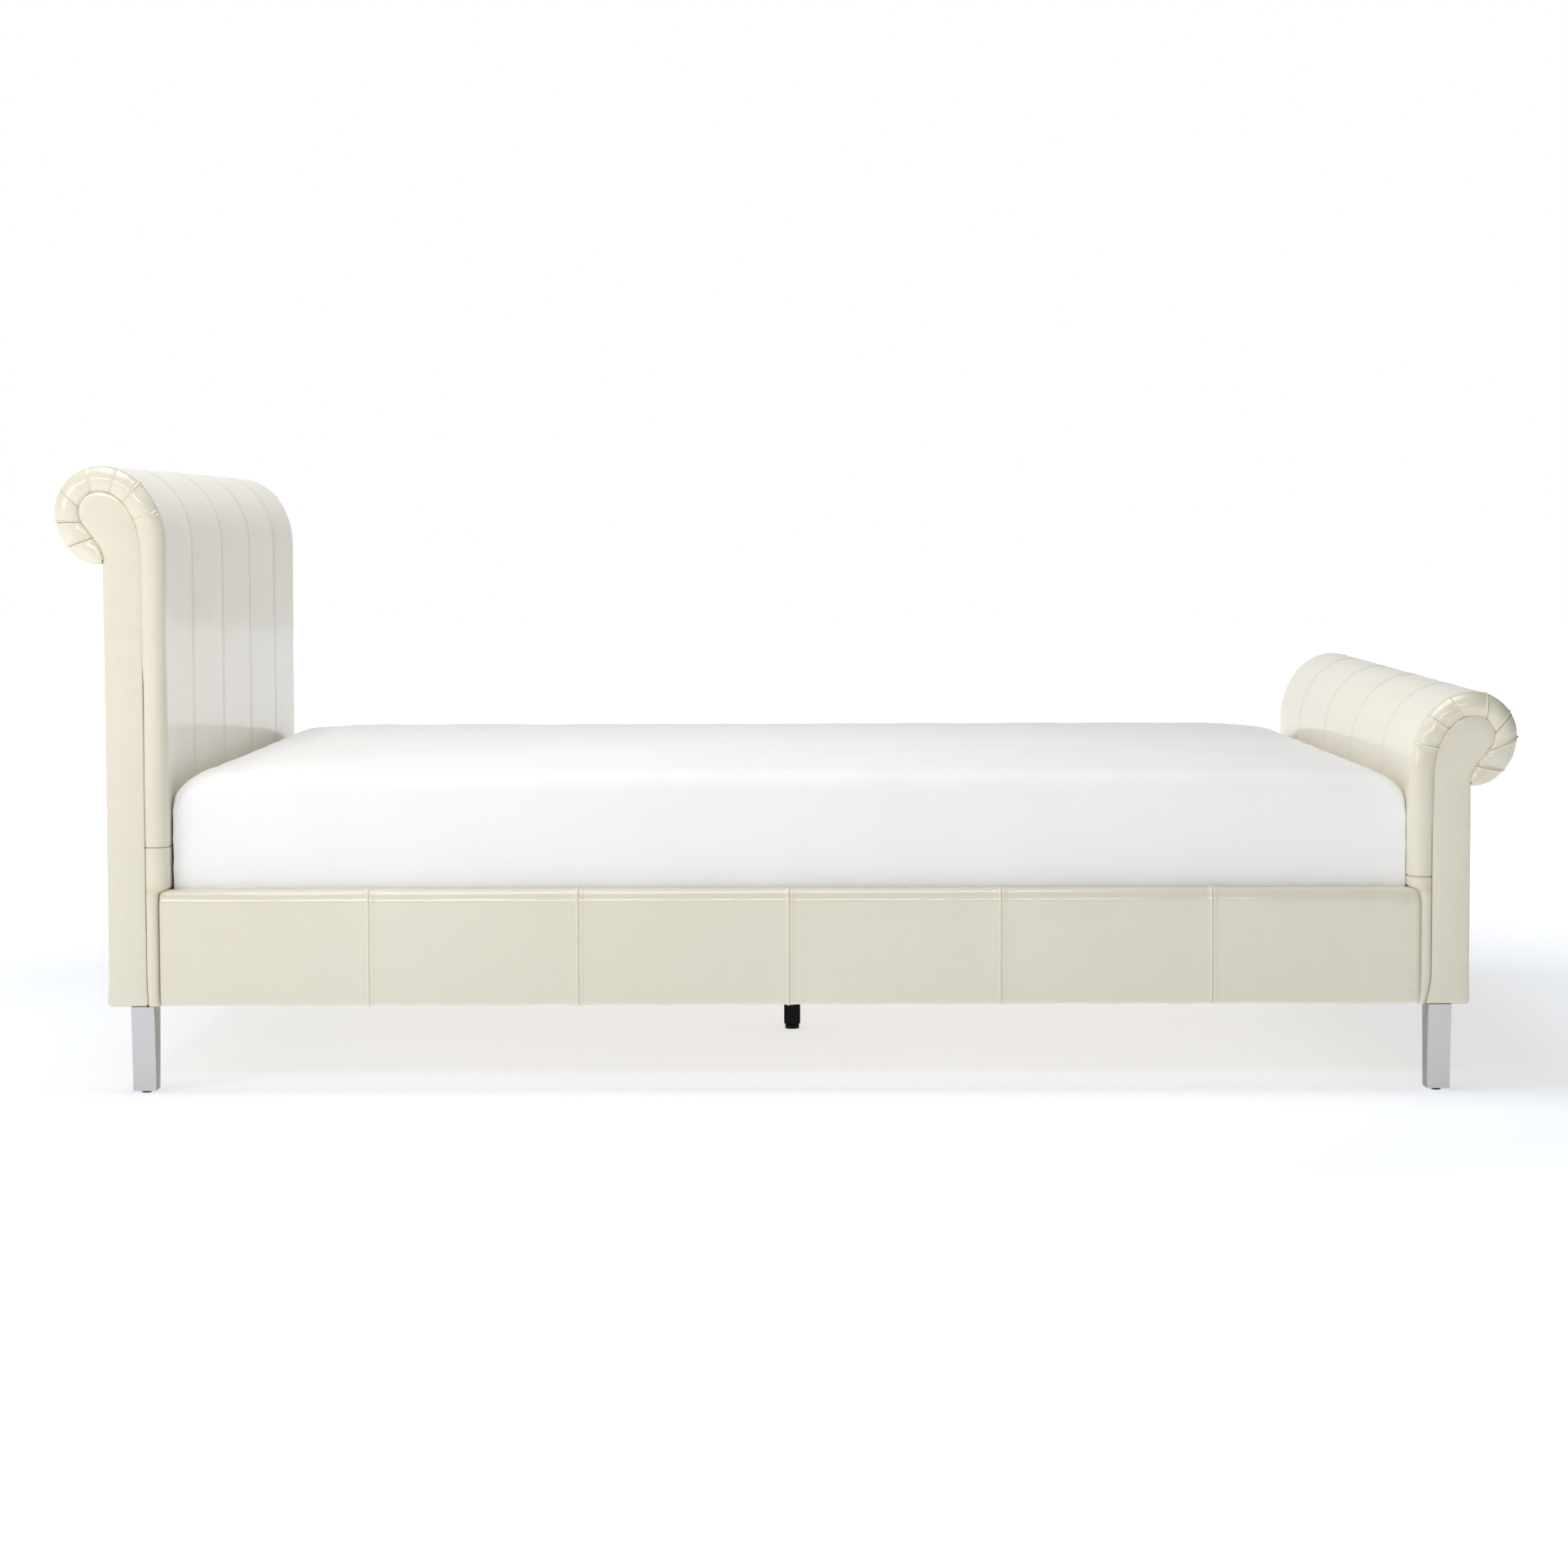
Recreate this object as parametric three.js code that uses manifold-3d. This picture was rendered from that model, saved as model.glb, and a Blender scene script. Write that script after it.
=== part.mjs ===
// A queen-size sleigh bed: an upholstered headboard and a lower footboard, both rolled
// outward at the top, joined by padded side rails. A slatted base carries the mattress.
//
// Millimetres. +X runs from the headboard to the footboard, +Z is up, and the origin is on
// the floor under the middle of the bed. Left (-Y) and right (+Y) are as seen from the foot.

import * as THREE from 'three';
import { mergeVertices } from 'three/addons/utils/BufferGeometryUtils.js';
import Module from 'manifold-3d';

const wasm = await Module();
wasm.setup();

// ---- Overall size ----
const LENGTH = 2387; // over both rolls
const WIDTH = 1600; // over the facings and side rails
const GAP = 0.3; // clearance between pieces that touch
const ARC_STEPS = 12; // straight steps in each round stretch of an outline

// ---- The two ends: x is measured outward from the middle of the bed ----
const HEADBOARD = {
  name: 'headboard',
  height: 1031,
  back: 1114.5, // outer face of the upright part
  coverSeamZ: 407, // seam between the front cover and the cover below it
  legX: 1059, // middle of the leg
  railEnd: 1030, // where the side rails stop
  turned: true, // stands at -X, facing the footboard
};
const FOOTBOARD = {
  name: 'footboard',
  height: 663,
  back: 1117,
  coverSeamZ: 355,
  legX: 1069,
  railEnd: 1037.5,
  turned: false,
};

// ---- Section through an end ----
const FACING_DEPTH = 63; // upright part of the side facing, front to back
const PAD_DEPTH = 36.5; // foam and leather in front of it
const ROLL_OVERHANG = 4.5; // middle of the roll behind the back face
const SCROLL_R = 34.5; // round head of the side facing
const SCROLL_SHOULDER = 73; // below the roll's middle, where the facing starts to lean back
const PAD_SHOULDER = 130; // below the top, where the padded front starts to lean back
const ROLL_DROP = 86; // from the roll's middle to its lowest point
const NECK_SLOPE = THREE.MathUtils.degToRad(54); // straight underside of the facing's head
const NECK_FILLET = 45; // hollow curve from there into the back
const UNDERSIDE = 145; // bottom of all the upholstery
const BACK_COVER = 3;
const FACING_THICKNESS = 10;

// ---- Wooden frame inside an end ----
const FRAME_BOTTOM = 149.5;
const FACE_PANEL = 12;
const SCROLL_BOARD = 18;
const CROSS_RAIL_HEIGHT = 100;

// ---- Legs ----
const LEG_WIDTH = 38; // along the bed
const LEG_TOP_DEPTH = 60; // across the bed
const LEG_BOTTOM_DEPTH = 39;
const LEG_Y = 768.5;
const LEG_PLATE = { y: 763.5, depth: 50, thickness: 3.9 };
const GLIDE = { radius: 8, height: 4 };

// ---- Side rails ----
const RAIL = { inner: 762.5, bottom: 148, top: 332, outerEdge: 13, innerEdge: 10 };
const RAIL_CORE = { inner: 770.7, outer: 792.7, bottom: 152, top: 328, endInset: 4 };
const LEDGER = { depth: 35, height: 34.7, endInset: 38 };
const CORNER_BRACKET = { leg: 50, thickness: 5, bottom: 152, height: 42 };

// ---- Slatted base ----
const SLAT = { count: 11, width: 95, thickness: 19, top: 250, half: 754, span: 1920 };
const BEAM = { width: 40, height: 70.4 };
const BEAM_BRACKET = { width: 60, thickness: 5, tab: 45 };
const CENTER_LEG = { x: 8, side: 30, footRadius: 13, footHeight: 9 };

// ---- Mattress and its fitted sheet ----
const SHEET = { thickness: 2, lip: 150, headClearance: 6 };
const MATTRESS = { half: 762, top: 530, corner: 62, roundover: 32 };

const HALF_WIDTH = WIDTH / 2;
const SLAT_BOTTOM = SLAT.top - SLAT.thickness;
const BEAM_TOP = SLAT_BOTTOM - GAP;
const LEDGER_TOP = SLAT_BOTTOM - GAP;
const SIDES = [{ name: 'left', y: -1 }, { name: 'right', y: 1 }];

// ---- Materials ----
const leather = finish(0xe6dfcb, 0.38, 0);
const plywood = finish(0xc9a574, 0.75, 0);
const pine = finish(0xdcbd8c, 0.7, 0);
const foamCore = finish(0xe9dfae, 0.95, 0);
const legMetal = finish(0xbdbcb9, 0.32, 1);
const steel = finish(0x3c3d40, 0.5, 1);
const blackPlastic = finish(0x101010, 0.5, 0);
const ticking = finish(0xf1efe9, 0.9, 0);
const sheetCloth = finish(0xf7f7f6, 0.85, 0);

function finish(color, roughness, metalness) {
  return new THREE.MeshStandardMaterial({ color, roughness, metalness });
}

// ---- Outlines and solids ----

/** Points and curves joined end to end, without the points that neighbours share. */
function chain(...pieces) {
  const points = [];
  for (const piece of pieces) {
    const next = piece instanceof THREE.Curve
      ? piece.getPoints(ARC_STEPS)
      : [new THREE.Vector2(...piece)];
    for (const p of next) {
      const last = points.at(-1);
      if (!last || last.distanceTo(p) > 1e-6) points.push(p);
    }
  }
  return points;
}

function shapeOf(...pieces) {
  return new THREE.Shape(chain(...pieces));
}

/** Part of an ellipse, from one angle to another in degrees. */
function bend(x, y, rx, ry, from, to) {
  const start = THREE.MathUtils.degToRad(from);
  const end = THREE.MathUtils.degToRad(to);
  return new THREE.EllipseCurve(x, y, rx, ry, start, end, to < from);
}

function block(x0, x1, y0, y1, z0, z1) {
  const box = new THREE.BoxGeometry(x1 - x0, y1 - y0, z1 - z0);
  return box.translate((x0 + x1) / 2, (y0 + y1) / 2, (z0 + z1) / 2);
}

function extruded(shape, depth) {
  return new THREE.ExtrudeGeometry(shape, { depth, bevelEnabled: false });
}

/** A section drawn in x and z, run across the bed from y0 to y1. */
function acrossBed(section, y0, y1) {
  return extruded(section, y1 - y0).rotateX(Math.PI / 2).translate(0, y1, 0);
}

/** A section drawn in y and z, run along the bed from x0 to x1. */
function alongBed(section, x0, x1) {
  return extruded(section, x1 - x0).rotateX(Math.PI / 2).rotateZ(Math.PI / 2).translate(x0, 0, 0);
}

/** The span from a to b, on the left or the right of the bed, lowest first. */
function sideSpan(sign, a, b) {
  return sign > 0 ? [a, b] : [-b, -a];
}

function toManifold(geometry) {
  const bare = geometry.index ? geometry.toNonIndexed() : geometry.clone();
  bare.deleteAttribute('normal');
  bare.deleteAttribute('uv');
  const merged = mergeVertices(bare, 1e-5);
  return new wasm.Manifold(new wasm.Mesh({
    numProp: 3,
    vertProperties: new Float32Array(merged.attributes.position.array),
    triVerts: new Uint32Array(merged.index.array),
  }));
}

function fromManifold(solid) {
  const mesh = solid.getMesh();
  const geometry = new THREE.BufferGeometry();
  geometry.setAttribute('position', new THREE.BufferAttribute(mesh.vertProperties, 3));
  geometry.setIndex(new THREE.BufferAttribute(mesh.triVerts, 1));
  geometry.computeVertexNormals();
  return geometry;
}

/** body with every one of cutters taken away. */
function cut(body, ...cutters) {
  const left = cutters.reduce((rest, c) => rest.subtract(toManifold(c)), toManifold(body));
  return fromManifold(left);
}

function add(group, name, geometry, material) {
  const mesh = new THREE.Mesh(geometry, material);
  mesh.name = name;
  group.add(mesh);
  return mesh;
}

// ---- Headboard and footboard ----

/** An end's driving sizes with the ones that follow from them. */
function sized(end) {
  const seam = end.back - FACING_DEPTH;
  const rollX = end.back + ROLL_OVERHANG;
  const rollR = LENGTH / 2 - rollX;
  const rollZ = end.height - rollR;
  const slopeStart = NECK_SLOPE - Math.PI / 2;
  const headX = rollX + SCROLL_R * Math.cos(slopeStart);
  const headZ = rollZ + SCROLL_R * Math.sin(slopeStart);
  const neckX = end.back + NECK_FILLET;
  const filletTopX = neckX - NECK_FILLET * Math.sin(NECK_SLOPE);
  const filletTopZ = headZ - (headX - filletTopX) * Math.tan(NECK_SLOPE);
  return {
    ...end,
    seam,
    front: seam - PAD_DEPTH,
    rollX,
    rollR,
    rollZ,
    shoulder: rollZ - SCROLL_SHOULDER,
    neckX,
    neckZ: filletTopZ - NECK_FILLET * Math.cos(NECK_SLOPE),
    panelBack: seam + GAP + FACE_PANEL,
    backCoverTop: rollZ - ROLL_DROP - GAP,
  };
}

/** The scroll from its shoulder, over the round head and down the neck to the back. */
function scrollCurves(end, inset) {
  const r = SCROLL_R - inset;
  const slope = THREE.MathUtils.radToDeg(NECK_SLOPE);
  const lean = end.rollX - end.seam - inset;
  return [
    bend(end.rollX, end.shoulder, lean, end.rollZ + r - end.shoulder, 180, 90),
    bend(end.rollX, end.rollZ, r, r, 90, slope - 90),
    bend(end.neckX, end.neckZ, NECK_FILLET + inset, NECK_FILLET + inset, 90 + slope, 180),
  ];
}

/** Padded front that runs up, over the roll and round to the back. */
function frontCoverSection(end) {
  const inside = chain(...scrollCurves(end, 0)).reverse().map((p) => [p.x, p.y]);
  return shapeOf(
    [end.seam, end.coverSeamZ],
    [end.front, end.coverSeamZ],
    bend(end.rollX, end.height - PAD_SHOULDER, end.rollX - end.front, PAD_SHOULDER, 180, 90),
    bend(end.rollX, end.rollZ, end.rollR, end.rollR, 90, 0),
    bend(end.rollX, end.rollZ, end.rollR, ROLL_DROP, 0, -90),
    [end.back, end.rollZ - ROLL_DROP],
    ...inside,
  );
}

function facingSection(end) {
  return shapeOf(
    [end.seam + GAP, UNDERSIDE],
    ...scrollCurves(end, GAP),
    [end.back - GAP, UNDERSIDE],
  );
}

/** The scroll's outline behind the face panel, down to z at its foot. */
function scrollFrameSection(end, foot) {
  const behindPanel = end.panelBack + GAP;
  const insideBack = end.back - BACK_COVER - GAP;
  return shapeOf(
    [behindPanel, foot],
    [behindPanel, end.shoulder],
    [end.seam + GAP, end.shoulder],
    ...scrollCurves(end, GAP),
    [end.back - GAP, end.backCoverTop + GAP],
    [insideBack, end.backCoverTop + GAP],
    [insideBack, foot],
  );
}

/** Cover below the seam, let in at both sides where the side rails press into it. */
function lowerCover(end) {
  const notches = SIDES.map(({ y }) => {
    const [y0, y1] = sideSpan(y, RAIL.inner - GAP, HALF_WIDTH + 1);
    return block(end.front - 1, end.railEnd + GAP, y0, y1, UNDERSIDE - 1, RAIL.top + GAP);
  });
  const pad = block(
    end.front, end.seam, -HALF_WIDTH, HALF_WIDTH, UNDERSIDE, end.coverSeamZ - GAP,
  );
  return cut(pad, ...notches);
}

/** Tapered in its depth across the bed, and straight along it. */
function legGeometry(x, sign) {
  const top = UNDERSIDE - GAP;
  const foot = GLIDE.height + GAP;
  const y = LEG_Y * sign;
  const section = shapeOf(
    [y - LEG_BOTTOM_DEPTH / 2, foot],
    [y + LEG_BOTTOM_DEPTH / 2, foot],
    [y + LEG_TOP_DEPTH / 2, top],
    [y - LEG_TOP_DEPTH / 2, top],
  );
  return alongBed(section, x - LEG_WIDTH / 2, x + LEG_WIDTH / 2);
}

function glideGeometry(x, y) {
  return new THREE.CylinderGeometry(GLIDE.radius, GLIDE.radius, GLIDE.height, 24)
    .rotateX(Math.PI / 2)
    .translate(x, y, GLIDE.height / 2);
}

function buildEnd(driving) {
  const end = sized(driving);
  const group = new THREE.Group();
  if (end.turned) group.rotation.z = Math.PI;
  const node = (part, geometry, material) => add(group, `${end.name}_${part}`, geometry, material);

  const facingInner = HALF_WIDTH - FACING_THICKNESS;
  const boardOuter = facingInner - GAP;
  const boardInner = boardOuter - SCROLL_BOARD;
  const coreHalf = boardInner - GAP;
  const insideBack = end.back - BACK_COVER - GAP;
  const behindPanel = end.panelBack + GAP;
  const frameTop = FRAME_BOTTOM + CROSS_RAIL_HEIGHT;
  const coreFoot = end.backCoverTop + GAP - SCROLL_SHOULDER;

  node('face_panel', block(
    end.seam + GAP, end.panelBack, -boardOuter, boardOuter, FRAME_BOTTOM, end.shoulder - GAP,
  ), plywood);
  node('roll_core', acrossBed(scrollFrameSection(end, coreFoot), -coreHalf, coreHalf), foamCore);
  node('cross_rail', block(
    behindPanel, insideBack, -coreHalf, coreHalf, FRAME_BOTTOM, frameTop,
  ), pine);
  node('front_cover', acrossBed(frontCoverSection(end), -HALF_WIDTH, HALF_WIDTH), leather);
  node('lower_cover', lowerCover(end), leather);
  node('back_cover', block(
    end.back - BACK_COVER, end.back, -boardOuter, boardOuter, UNDERSIDE, end.backCoverTop,
  ), leather);

  for (const side of SIDES) {
    const sign = end.turned ? -side.y : side.y;
    const plateY = sideSpan(
      sign, LEG_PLATE.y - LEG_PLATE.depth / 2, LEG_PLATE.y + LEG_PLATE.depth / 2,
    );
    node(`scroll_board_${side.name}`, acrossBed(
      scrollFrameSection(end, FRAME_BOTTOM), ...sideSpan(sign, boardInner, boardOuter),
    ), plywood);
    node(`side_facing_${side.name}`, acrossBed(
      facingSection(end), ...sideSpan(sign, facingInner, HALF_WIDTH),
    ), leather);
    node(`leg_plate_${side.name}`, block(
      end.seam + GAP, insideBack, ...plateY, UNDERSIDE, UNDERSIDE + LEG_PLATE.thickness,
    ), steel);
    node(`leg_${side.name}`, legGeometry(end.legX, sign), legMetal);
    node(`leg_glide_${side.name}`, glideGeometry(end.legX, LEG_Y * sign), blackPlastic);
  }
  return group;
}

// ---- Side rails ----

/** A board wrapped in foam and leather, open at both ends, with its top edges rounded. */
function railCoverSection(sign) {
  const { inner, bottom, top, outerEdge, innerEdge } = RAIL;
  const mirrored = (points) => points.map((p) => new THREE.Vector2(p.x * sign, p.y));
  const section = new THREE.Shape(mirrored(chain(
    [inner, bottom],
    [HALF_WIDTH, bottom],
    bend(HALF_WIDTH - outerEdge, top - outerEdge, outerEdge, outerEdge, 0, 90),
    bend(inner + innerEdge, top - innerEdge, innerEdge, innerEdge, 90, 180),
  )));
  section.holes.push(new THREE.Path(mirrored(chain(
    [RAIL_CORE.inner - GAP, RAIL_CORE.bottom - GAP],
    [RAIL_CORE.inner - GAP, RAIL_CORE.top + GAP],
    [RAIL_CORE.outer + GAP, RAIL_CORE.top + GAP],
    [RAIL_CORE.outer + GAP, RAIL_CORE.bottom - GAP],
  ))));
  return section;
}

/** An angle plate in the corner between a side rail and an end. */
function cornerBracket(end, side) {
  const { leg, thickness, bottom, height } = CORNER_BRACKET;
  const towardsEnd = end.turned ? -1 : 1;
  const x = sized(end).front - GAP;
  const y = RAIL.inner - GAP;
  const plan = [
    [x, y], [x - leg, y], [x - leg, y - thickness],
    [x - thickness, y - thickness], [x - thickness, y - leg], [x, y - leg],
  ];
  return extruded(shapeOf(...plan.map(([px, py]) => [px * towardsEnd, py * side.y])), height)
    .translate(0, 0, bottom);
}

function buildSideRails() {
  const group = new THREE.Group();
  const headEnd = -HEADBOARD.railEnd;
  const footEnd = FOOTBOARD.railEnd;
  for (const side of SIDES) {
    const inset = RAIL_CORE.endInset;
    const coreY = sideSpan(side.y, RAIL_CORE.inner, RAIL_CORE.outer);
    const ledgerY = sideSpan(side.y, RAIL.inner - GAP - LEDGER.depth, RAIL.inner - GAP);
    add(group, `side_rail_core_${side.name}`, block(
      headEnd + inset, footEnd - inset, ...coreY, RAIL_CORE.bottom, RAIL_CORE.top,
    ), plywood);
    add(group, `side_rail_cover_${side.name}`,
      alongBed(railCoverSection(side.y), headEnd, footEnd), leather);
    add(group, `slat_ledger_${side.name}`, block(
      headEnd + LEDGER.endInset, footEnd - LEDGER.endInset, ...ledgerY,
      LEDGER_TOP - LEDGER.height, LEDGER_TOP,
    ), pine);
    add(group, `corner_bracket_head_${side.name}`, cornerBracket(HEADBOARD, side), steel);
    add(group, `corner_bracket_foot_${side.name}`, cornerBracket(FOOTBOARD, side), steel);
  }
  return group;
}

// ---- Slatted base ----

/** A plate against an end's cover, with a tab under the beam. */
function beamBracket(end) {
  const { width, thickness, tab } = BEAM_BRACKET;
  const towardsEnd = end.turned ? -1 : 1;
  const x = sized(end).front - GAP;
  const seat = BEAM_TOP - BEAM.height - GAP;
  const section = shapeOf(...[
    [x, seat - thickness], [x, BEAM_TOP],
    [x - thickness, BEAM_TOP], [x - thickness, seat],
    [x - tab, seat], [x - tab, seat - thickness],
  ].map(([px, pz]) => [px * towardsEnd, pz]));
  return acrossBed(section, -width / 2, width / 2);
}

function buildSlattedBase() {
  const group = new THREE.Group();
  const beamEnd = (end) => sized(end).front - 2 * GAP - BEAM_BRACKET.thickness;
  const beamBottom = BEAM_TOP - BEAM.height;
  add(group, 'center_beam', block(
    -beamEnd(HEADBOARD), beamEnd(FOOTBOARD), -BEAM.width / 2, BEAM.width / 2, beamBottom, BEAM_TOP,
  ), pine);
  add(group, 'center_beam_bracket_head', beamBracket(HEADBOARD), steel);
  add(group, 'center_beam_bracket_foot', beamBracket(FOOTBOARD), steel);

  const { x, side, footRadius, footHeight } = CENTER_LEG;
  add(group, 'center_leg', block(
    x - side / 2, x + side / 2, -side / 2, side / 2, footHeight + GAP, beamBottom - GAP,
  ), blackPlastic);
  add(group, 'center_leg_foot', new THREE.CylinderGeometry(footRadius, footRadius, footHeight, 24)
    .rotateX(Math.PI / 2)
    .translate(x, 0, footHeight / 2), blackPlastic);

  const pitch = SLAT.span / (SLAT.count - 1);
  for (let i = 0; i < SLAT.count; i += 1) {
    const middle = -SLAT.span / 2 + i * pitch;
    const name = `slat_${String(i + 1).padStart(2, '0')}`;
    add(group, name, block(
      middle - SLAT.width / 2, middle + SLAT.width / 2, -SLAT.half, SLAT.half,
      SLAT_BOTTOM, SLAT.top,
    ), pine);
  }
  return group;
}

// ---- Mattress ----

/** A rounded block from z0 to z1, drawn inset from the sheet's outer faces. */
function mattressBlock(inset, z0, z1) {
  const round = MATTRESS.roundover - inset;
  const corner = MATTRESS.corner - MATTRESS.roundover;
  const x0 = -(sized(HEADBOARD).front - SHEET.headClearance) + MATTRESS.roundover;
  const x1 = sized(FOOTBOARD).front - GAP - MATTRESS.roundover;
  const y = MATTRESS.half - MATTRESS.roundover;
  const plan = shapeOf(
    bend(x1 - corner, y - corner, corner, corner, 0, 90),
    bend(x0 + corner, y - corner, corner, corner, 90, 180),
    bend(x0 + corner, -y + corner, corner, corner, 180, 270),
    bend(x1 - corner, -y + corner, corner, corner, 270, 360),
  );
  const options = {
    depth: z1 - z0 - 2 * round,
    bevelThickness: round,
    bevelSize: round,
    bevelSegments: 4,
  };
  return new THREE.ExtrudeGeometry(plan, options).translate(0, 0, z0 + round);
}

function buildMattress() {
  const group = new THREE.Group();
  const base = SLAT.top + GAP;
  const skin = SHEET.thickness;
  const outer = mattressBlock(0, base, MATTRESS.top);
  const hollow = mattressBlock(skin, base + skin, MATTRESS.top - skin);
  const endLip = Math.min(sized(HEADBOARD).front, sized(FOOTBOARD).front) - SHEET.lip;
  const sideLip = MATTRESS.half - SHEET.lip;
  const opening = block(-endLip, endLip, -sideLip, sideLip, base - 1, base + skin + 1);
  add(group, 'mattress', mattressBlock(
    skin + GAP, base + skin + GAP, MATTRESS.top - skin - GAP,
  ), ticking);
  add(group, 'fitted_sheet', cut(outer, hollow, opening), sheetCloth);
  return group;
}

const bed = new THREE.Group();
bed.add(
  buildEnd(HEADBOARD),
  buildEnd(FOOTBOARD),
  buildSideRails(),
  buildSlattedBase(),
  buildMattress(),
);
export default bed;
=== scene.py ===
"""A queen-size sleigh bed in ivory leather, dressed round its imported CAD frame.

Metres throughout. +X runs from the headboard to the footboard, +Z is up and left is -Y.
An end's own coordinates are u, outward from the middle of the bed, w, across it, and z.
"""
import math
from types import SimpleNamespace

import bmesh
import bpy
import numpy as np
from mathutils import Matrix, Vector
from mathutils.geometry import delaunay_2d_cdt


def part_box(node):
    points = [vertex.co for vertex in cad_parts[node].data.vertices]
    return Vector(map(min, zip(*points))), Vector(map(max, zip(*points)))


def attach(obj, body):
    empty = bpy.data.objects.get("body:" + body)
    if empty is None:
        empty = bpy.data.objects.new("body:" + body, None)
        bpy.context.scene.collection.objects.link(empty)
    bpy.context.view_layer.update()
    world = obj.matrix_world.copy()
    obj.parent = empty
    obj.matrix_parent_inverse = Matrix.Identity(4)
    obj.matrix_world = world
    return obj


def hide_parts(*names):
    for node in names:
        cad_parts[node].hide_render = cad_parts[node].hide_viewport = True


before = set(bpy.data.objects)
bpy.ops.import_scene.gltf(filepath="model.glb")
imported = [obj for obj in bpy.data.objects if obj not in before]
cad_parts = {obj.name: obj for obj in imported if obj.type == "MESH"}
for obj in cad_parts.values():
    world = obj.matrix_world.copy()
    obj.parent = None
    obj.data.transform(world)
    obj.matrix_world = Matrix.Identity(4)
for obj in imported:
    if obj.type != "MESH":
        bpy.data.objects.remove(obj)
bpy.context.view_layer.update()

MM = 0.001
FRAME_BODY = "bed_frame"
BEDDING_BODY = "bedding"
SIDES = (("left", -1), ("right", 1))

# ---- Section of an end: the sizes that the CAD boxes don't give ----
GAP = 0.3 * MM
SCROLL_R = 34.5 * MM  # round head of the side facing
SCROLL_SHOULDER = 73 * MM  # below the roll's middle, where the facing starts to lean back
PAD_SHOULDER = 130 * MM  # below the top, where the padded front starts to lean back
ROLL_DROP = 86 * MM  # from the roll's middle to its lowest point
NECK_SLOPE = math.radians(54)
NECK_FILLET = 45 * MM
RAIL_PRESS = 15 * MM  # how far a rail end presses into the lower cover
ROLL_START = 215  # degrees round the roll where a cover's rows come closer together
SHOULDER = 232  # degrees round the roll where the front starts to lean back

# ---- Leather ----
BAND_ROUND = 24 * MM  # rounding from the roll or the front into the band beside the facing
BAND_CREVICE = 5.5 * MM  # how deep the band dives beside the facing
TUCK = 2.2 * MM  # rolled edge where a cover meets its neighbour
HIDDEN = 34 * MM  # how far a cover runs in behind its facing
PANEL_SEAMS = np.array([-504, -168, 168, 504]) * MM  # upright seams across an end
STITCH_OFFSET = 8 * MM  # from a seam to its rows of stitches
STITCH = SimpleNamespace(pitch=4.2 * MM, length=3.1 * MM, radius=0.45 * MM, sides=6)
# A stitch's rings: (place along it, thickness, lift), as shares of its length and radius
STITCH_RINGS = [(-0.5, 0.35, -0.5), (-0.28, 1, 0.15), (0.28, 1, 0.15), (0.5, 0.35, -0.5)]
# Rows of points beside a cover's sewn edge, and on both sides of a fold
EDGE_ROWS = np.array([0, 0.4, 1, 1.8, 3, 4.5, 6.5, 9]) * MM
FOLD_ROWS = np.array([
    -14, -10, -7, -5, -3.7, -2.7, -1.9, -1.3, -0.8, -0.4, 0, 0.3, 0.6, 0.9, 1.3, 1.9, 2.8, 4.2,
    6.5, 10,
]) * MM

# ---- Pleats in the cover's ends, by angle round the roll: 0 points outward and 90 up ----
# (angle at the outer edge, angle at the facing, height of the lip, depth of the crevice,
#  how far the fold runs past the band's rounding, size of the loop at its end)
PLEATS = {
    ("headboard", "left"): [
        (179, 193, 2.9, 0.4, -9, 2.4), (143, 158, 2.8, 0.4, 0, 2.3), (110, 118, 2.2, 0.4, 2, 1.2),
        (77, 65, 1.5, 0.5, 8, 0), (30, 14, 0.9, 1.3, 18, 0), (-12, -28, 2.4, 3.0, 42, 0),
        (-46, -69, 2.2, 2.6, -6, 0),
    ],
    ("headboard", "right"): [
        (184, 197, 2.4, 0.4, -9, 2.0), (149, 161, 2.4, 0.5, -4, 1.8), (116, 121, 1.8, 0.5, 4, 0),
        (80, 71, 1.5, 0.5, 8, 0), (36, 22, 1.1, 1.3, 20, 0), (-8, -24, 2.3, 2.8, 40, 0),
        (-44, -68, 2.2, 2.6, 2, 0),
    ],
    ("footboard", "left"): [
        (188, 199, 2.8, 0.5, -13, 2.4), (155, 166, 2.7, 0.5, -12, 2.2),
        (122, 119, 1.0, 0.5, 0, 0.8), (71, 56, 1.9, 1.5, 20, 0), (33, 8, 2.1, 2.0, 26, 0),
        (-3, -46, 3.2, 3.2, 50, 0), (-50, -84, 2.8, 2.4, 14, 0),
    ],
    ("footboard", "right"): [
        (184, 195, 2.8, 0.5, -12, 2.2), (149, 161, 2.5, 0.4, -10, 2.0),
        (115, 112, 1.3, 0.5, 2, 0), (67, 51, 2.0, 1.5, 22, 0), (27, 4, 2.2, 2.0, 30, 0),
        (-10, -50, 3.1, 3.1, 46, 0), (-54, -85, 2.6, 2.4, 14, 0),
    ],
}
# Where an end's upright seams show most: (least depth, most depth, z where they begin to
# show, z where they show fully, z where they fade again, z where they have faded)
SEAM_DEPTH = {
    "headboard": (0.05, 0.30, 0.66, 0.86, 0.93, 0.99),
    "footboard": (0.08, 0.18, 0.52, 0.62, 2, 3),
}
# How much the facing widens at its foot: towards the bed, and away from it
FACING_FLARE = {"headboard": (2 * MM, 4 * MM), "footboard": (10 * MM, 2 * MM)}
# How much higher than its CAD shape the roll was stuffed, at its left end and its right end
ROLL_RISE = {"headboard": (-1.5 * MM, 0), "footboard": (-6 * MM, 7 * MM)}


# ---- Small mathematics ---------------------------------------------------------------

def smooth(x, low, high):
    """0 below low, 1 above high and an S-curve between them."""
    t = np.clip((x - low) / (high - low), 0, 1)
    return t * t * (3 - 2 * t)


def bell(x, width):
    return np.exp(-((x / width) ** 2))


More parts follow.
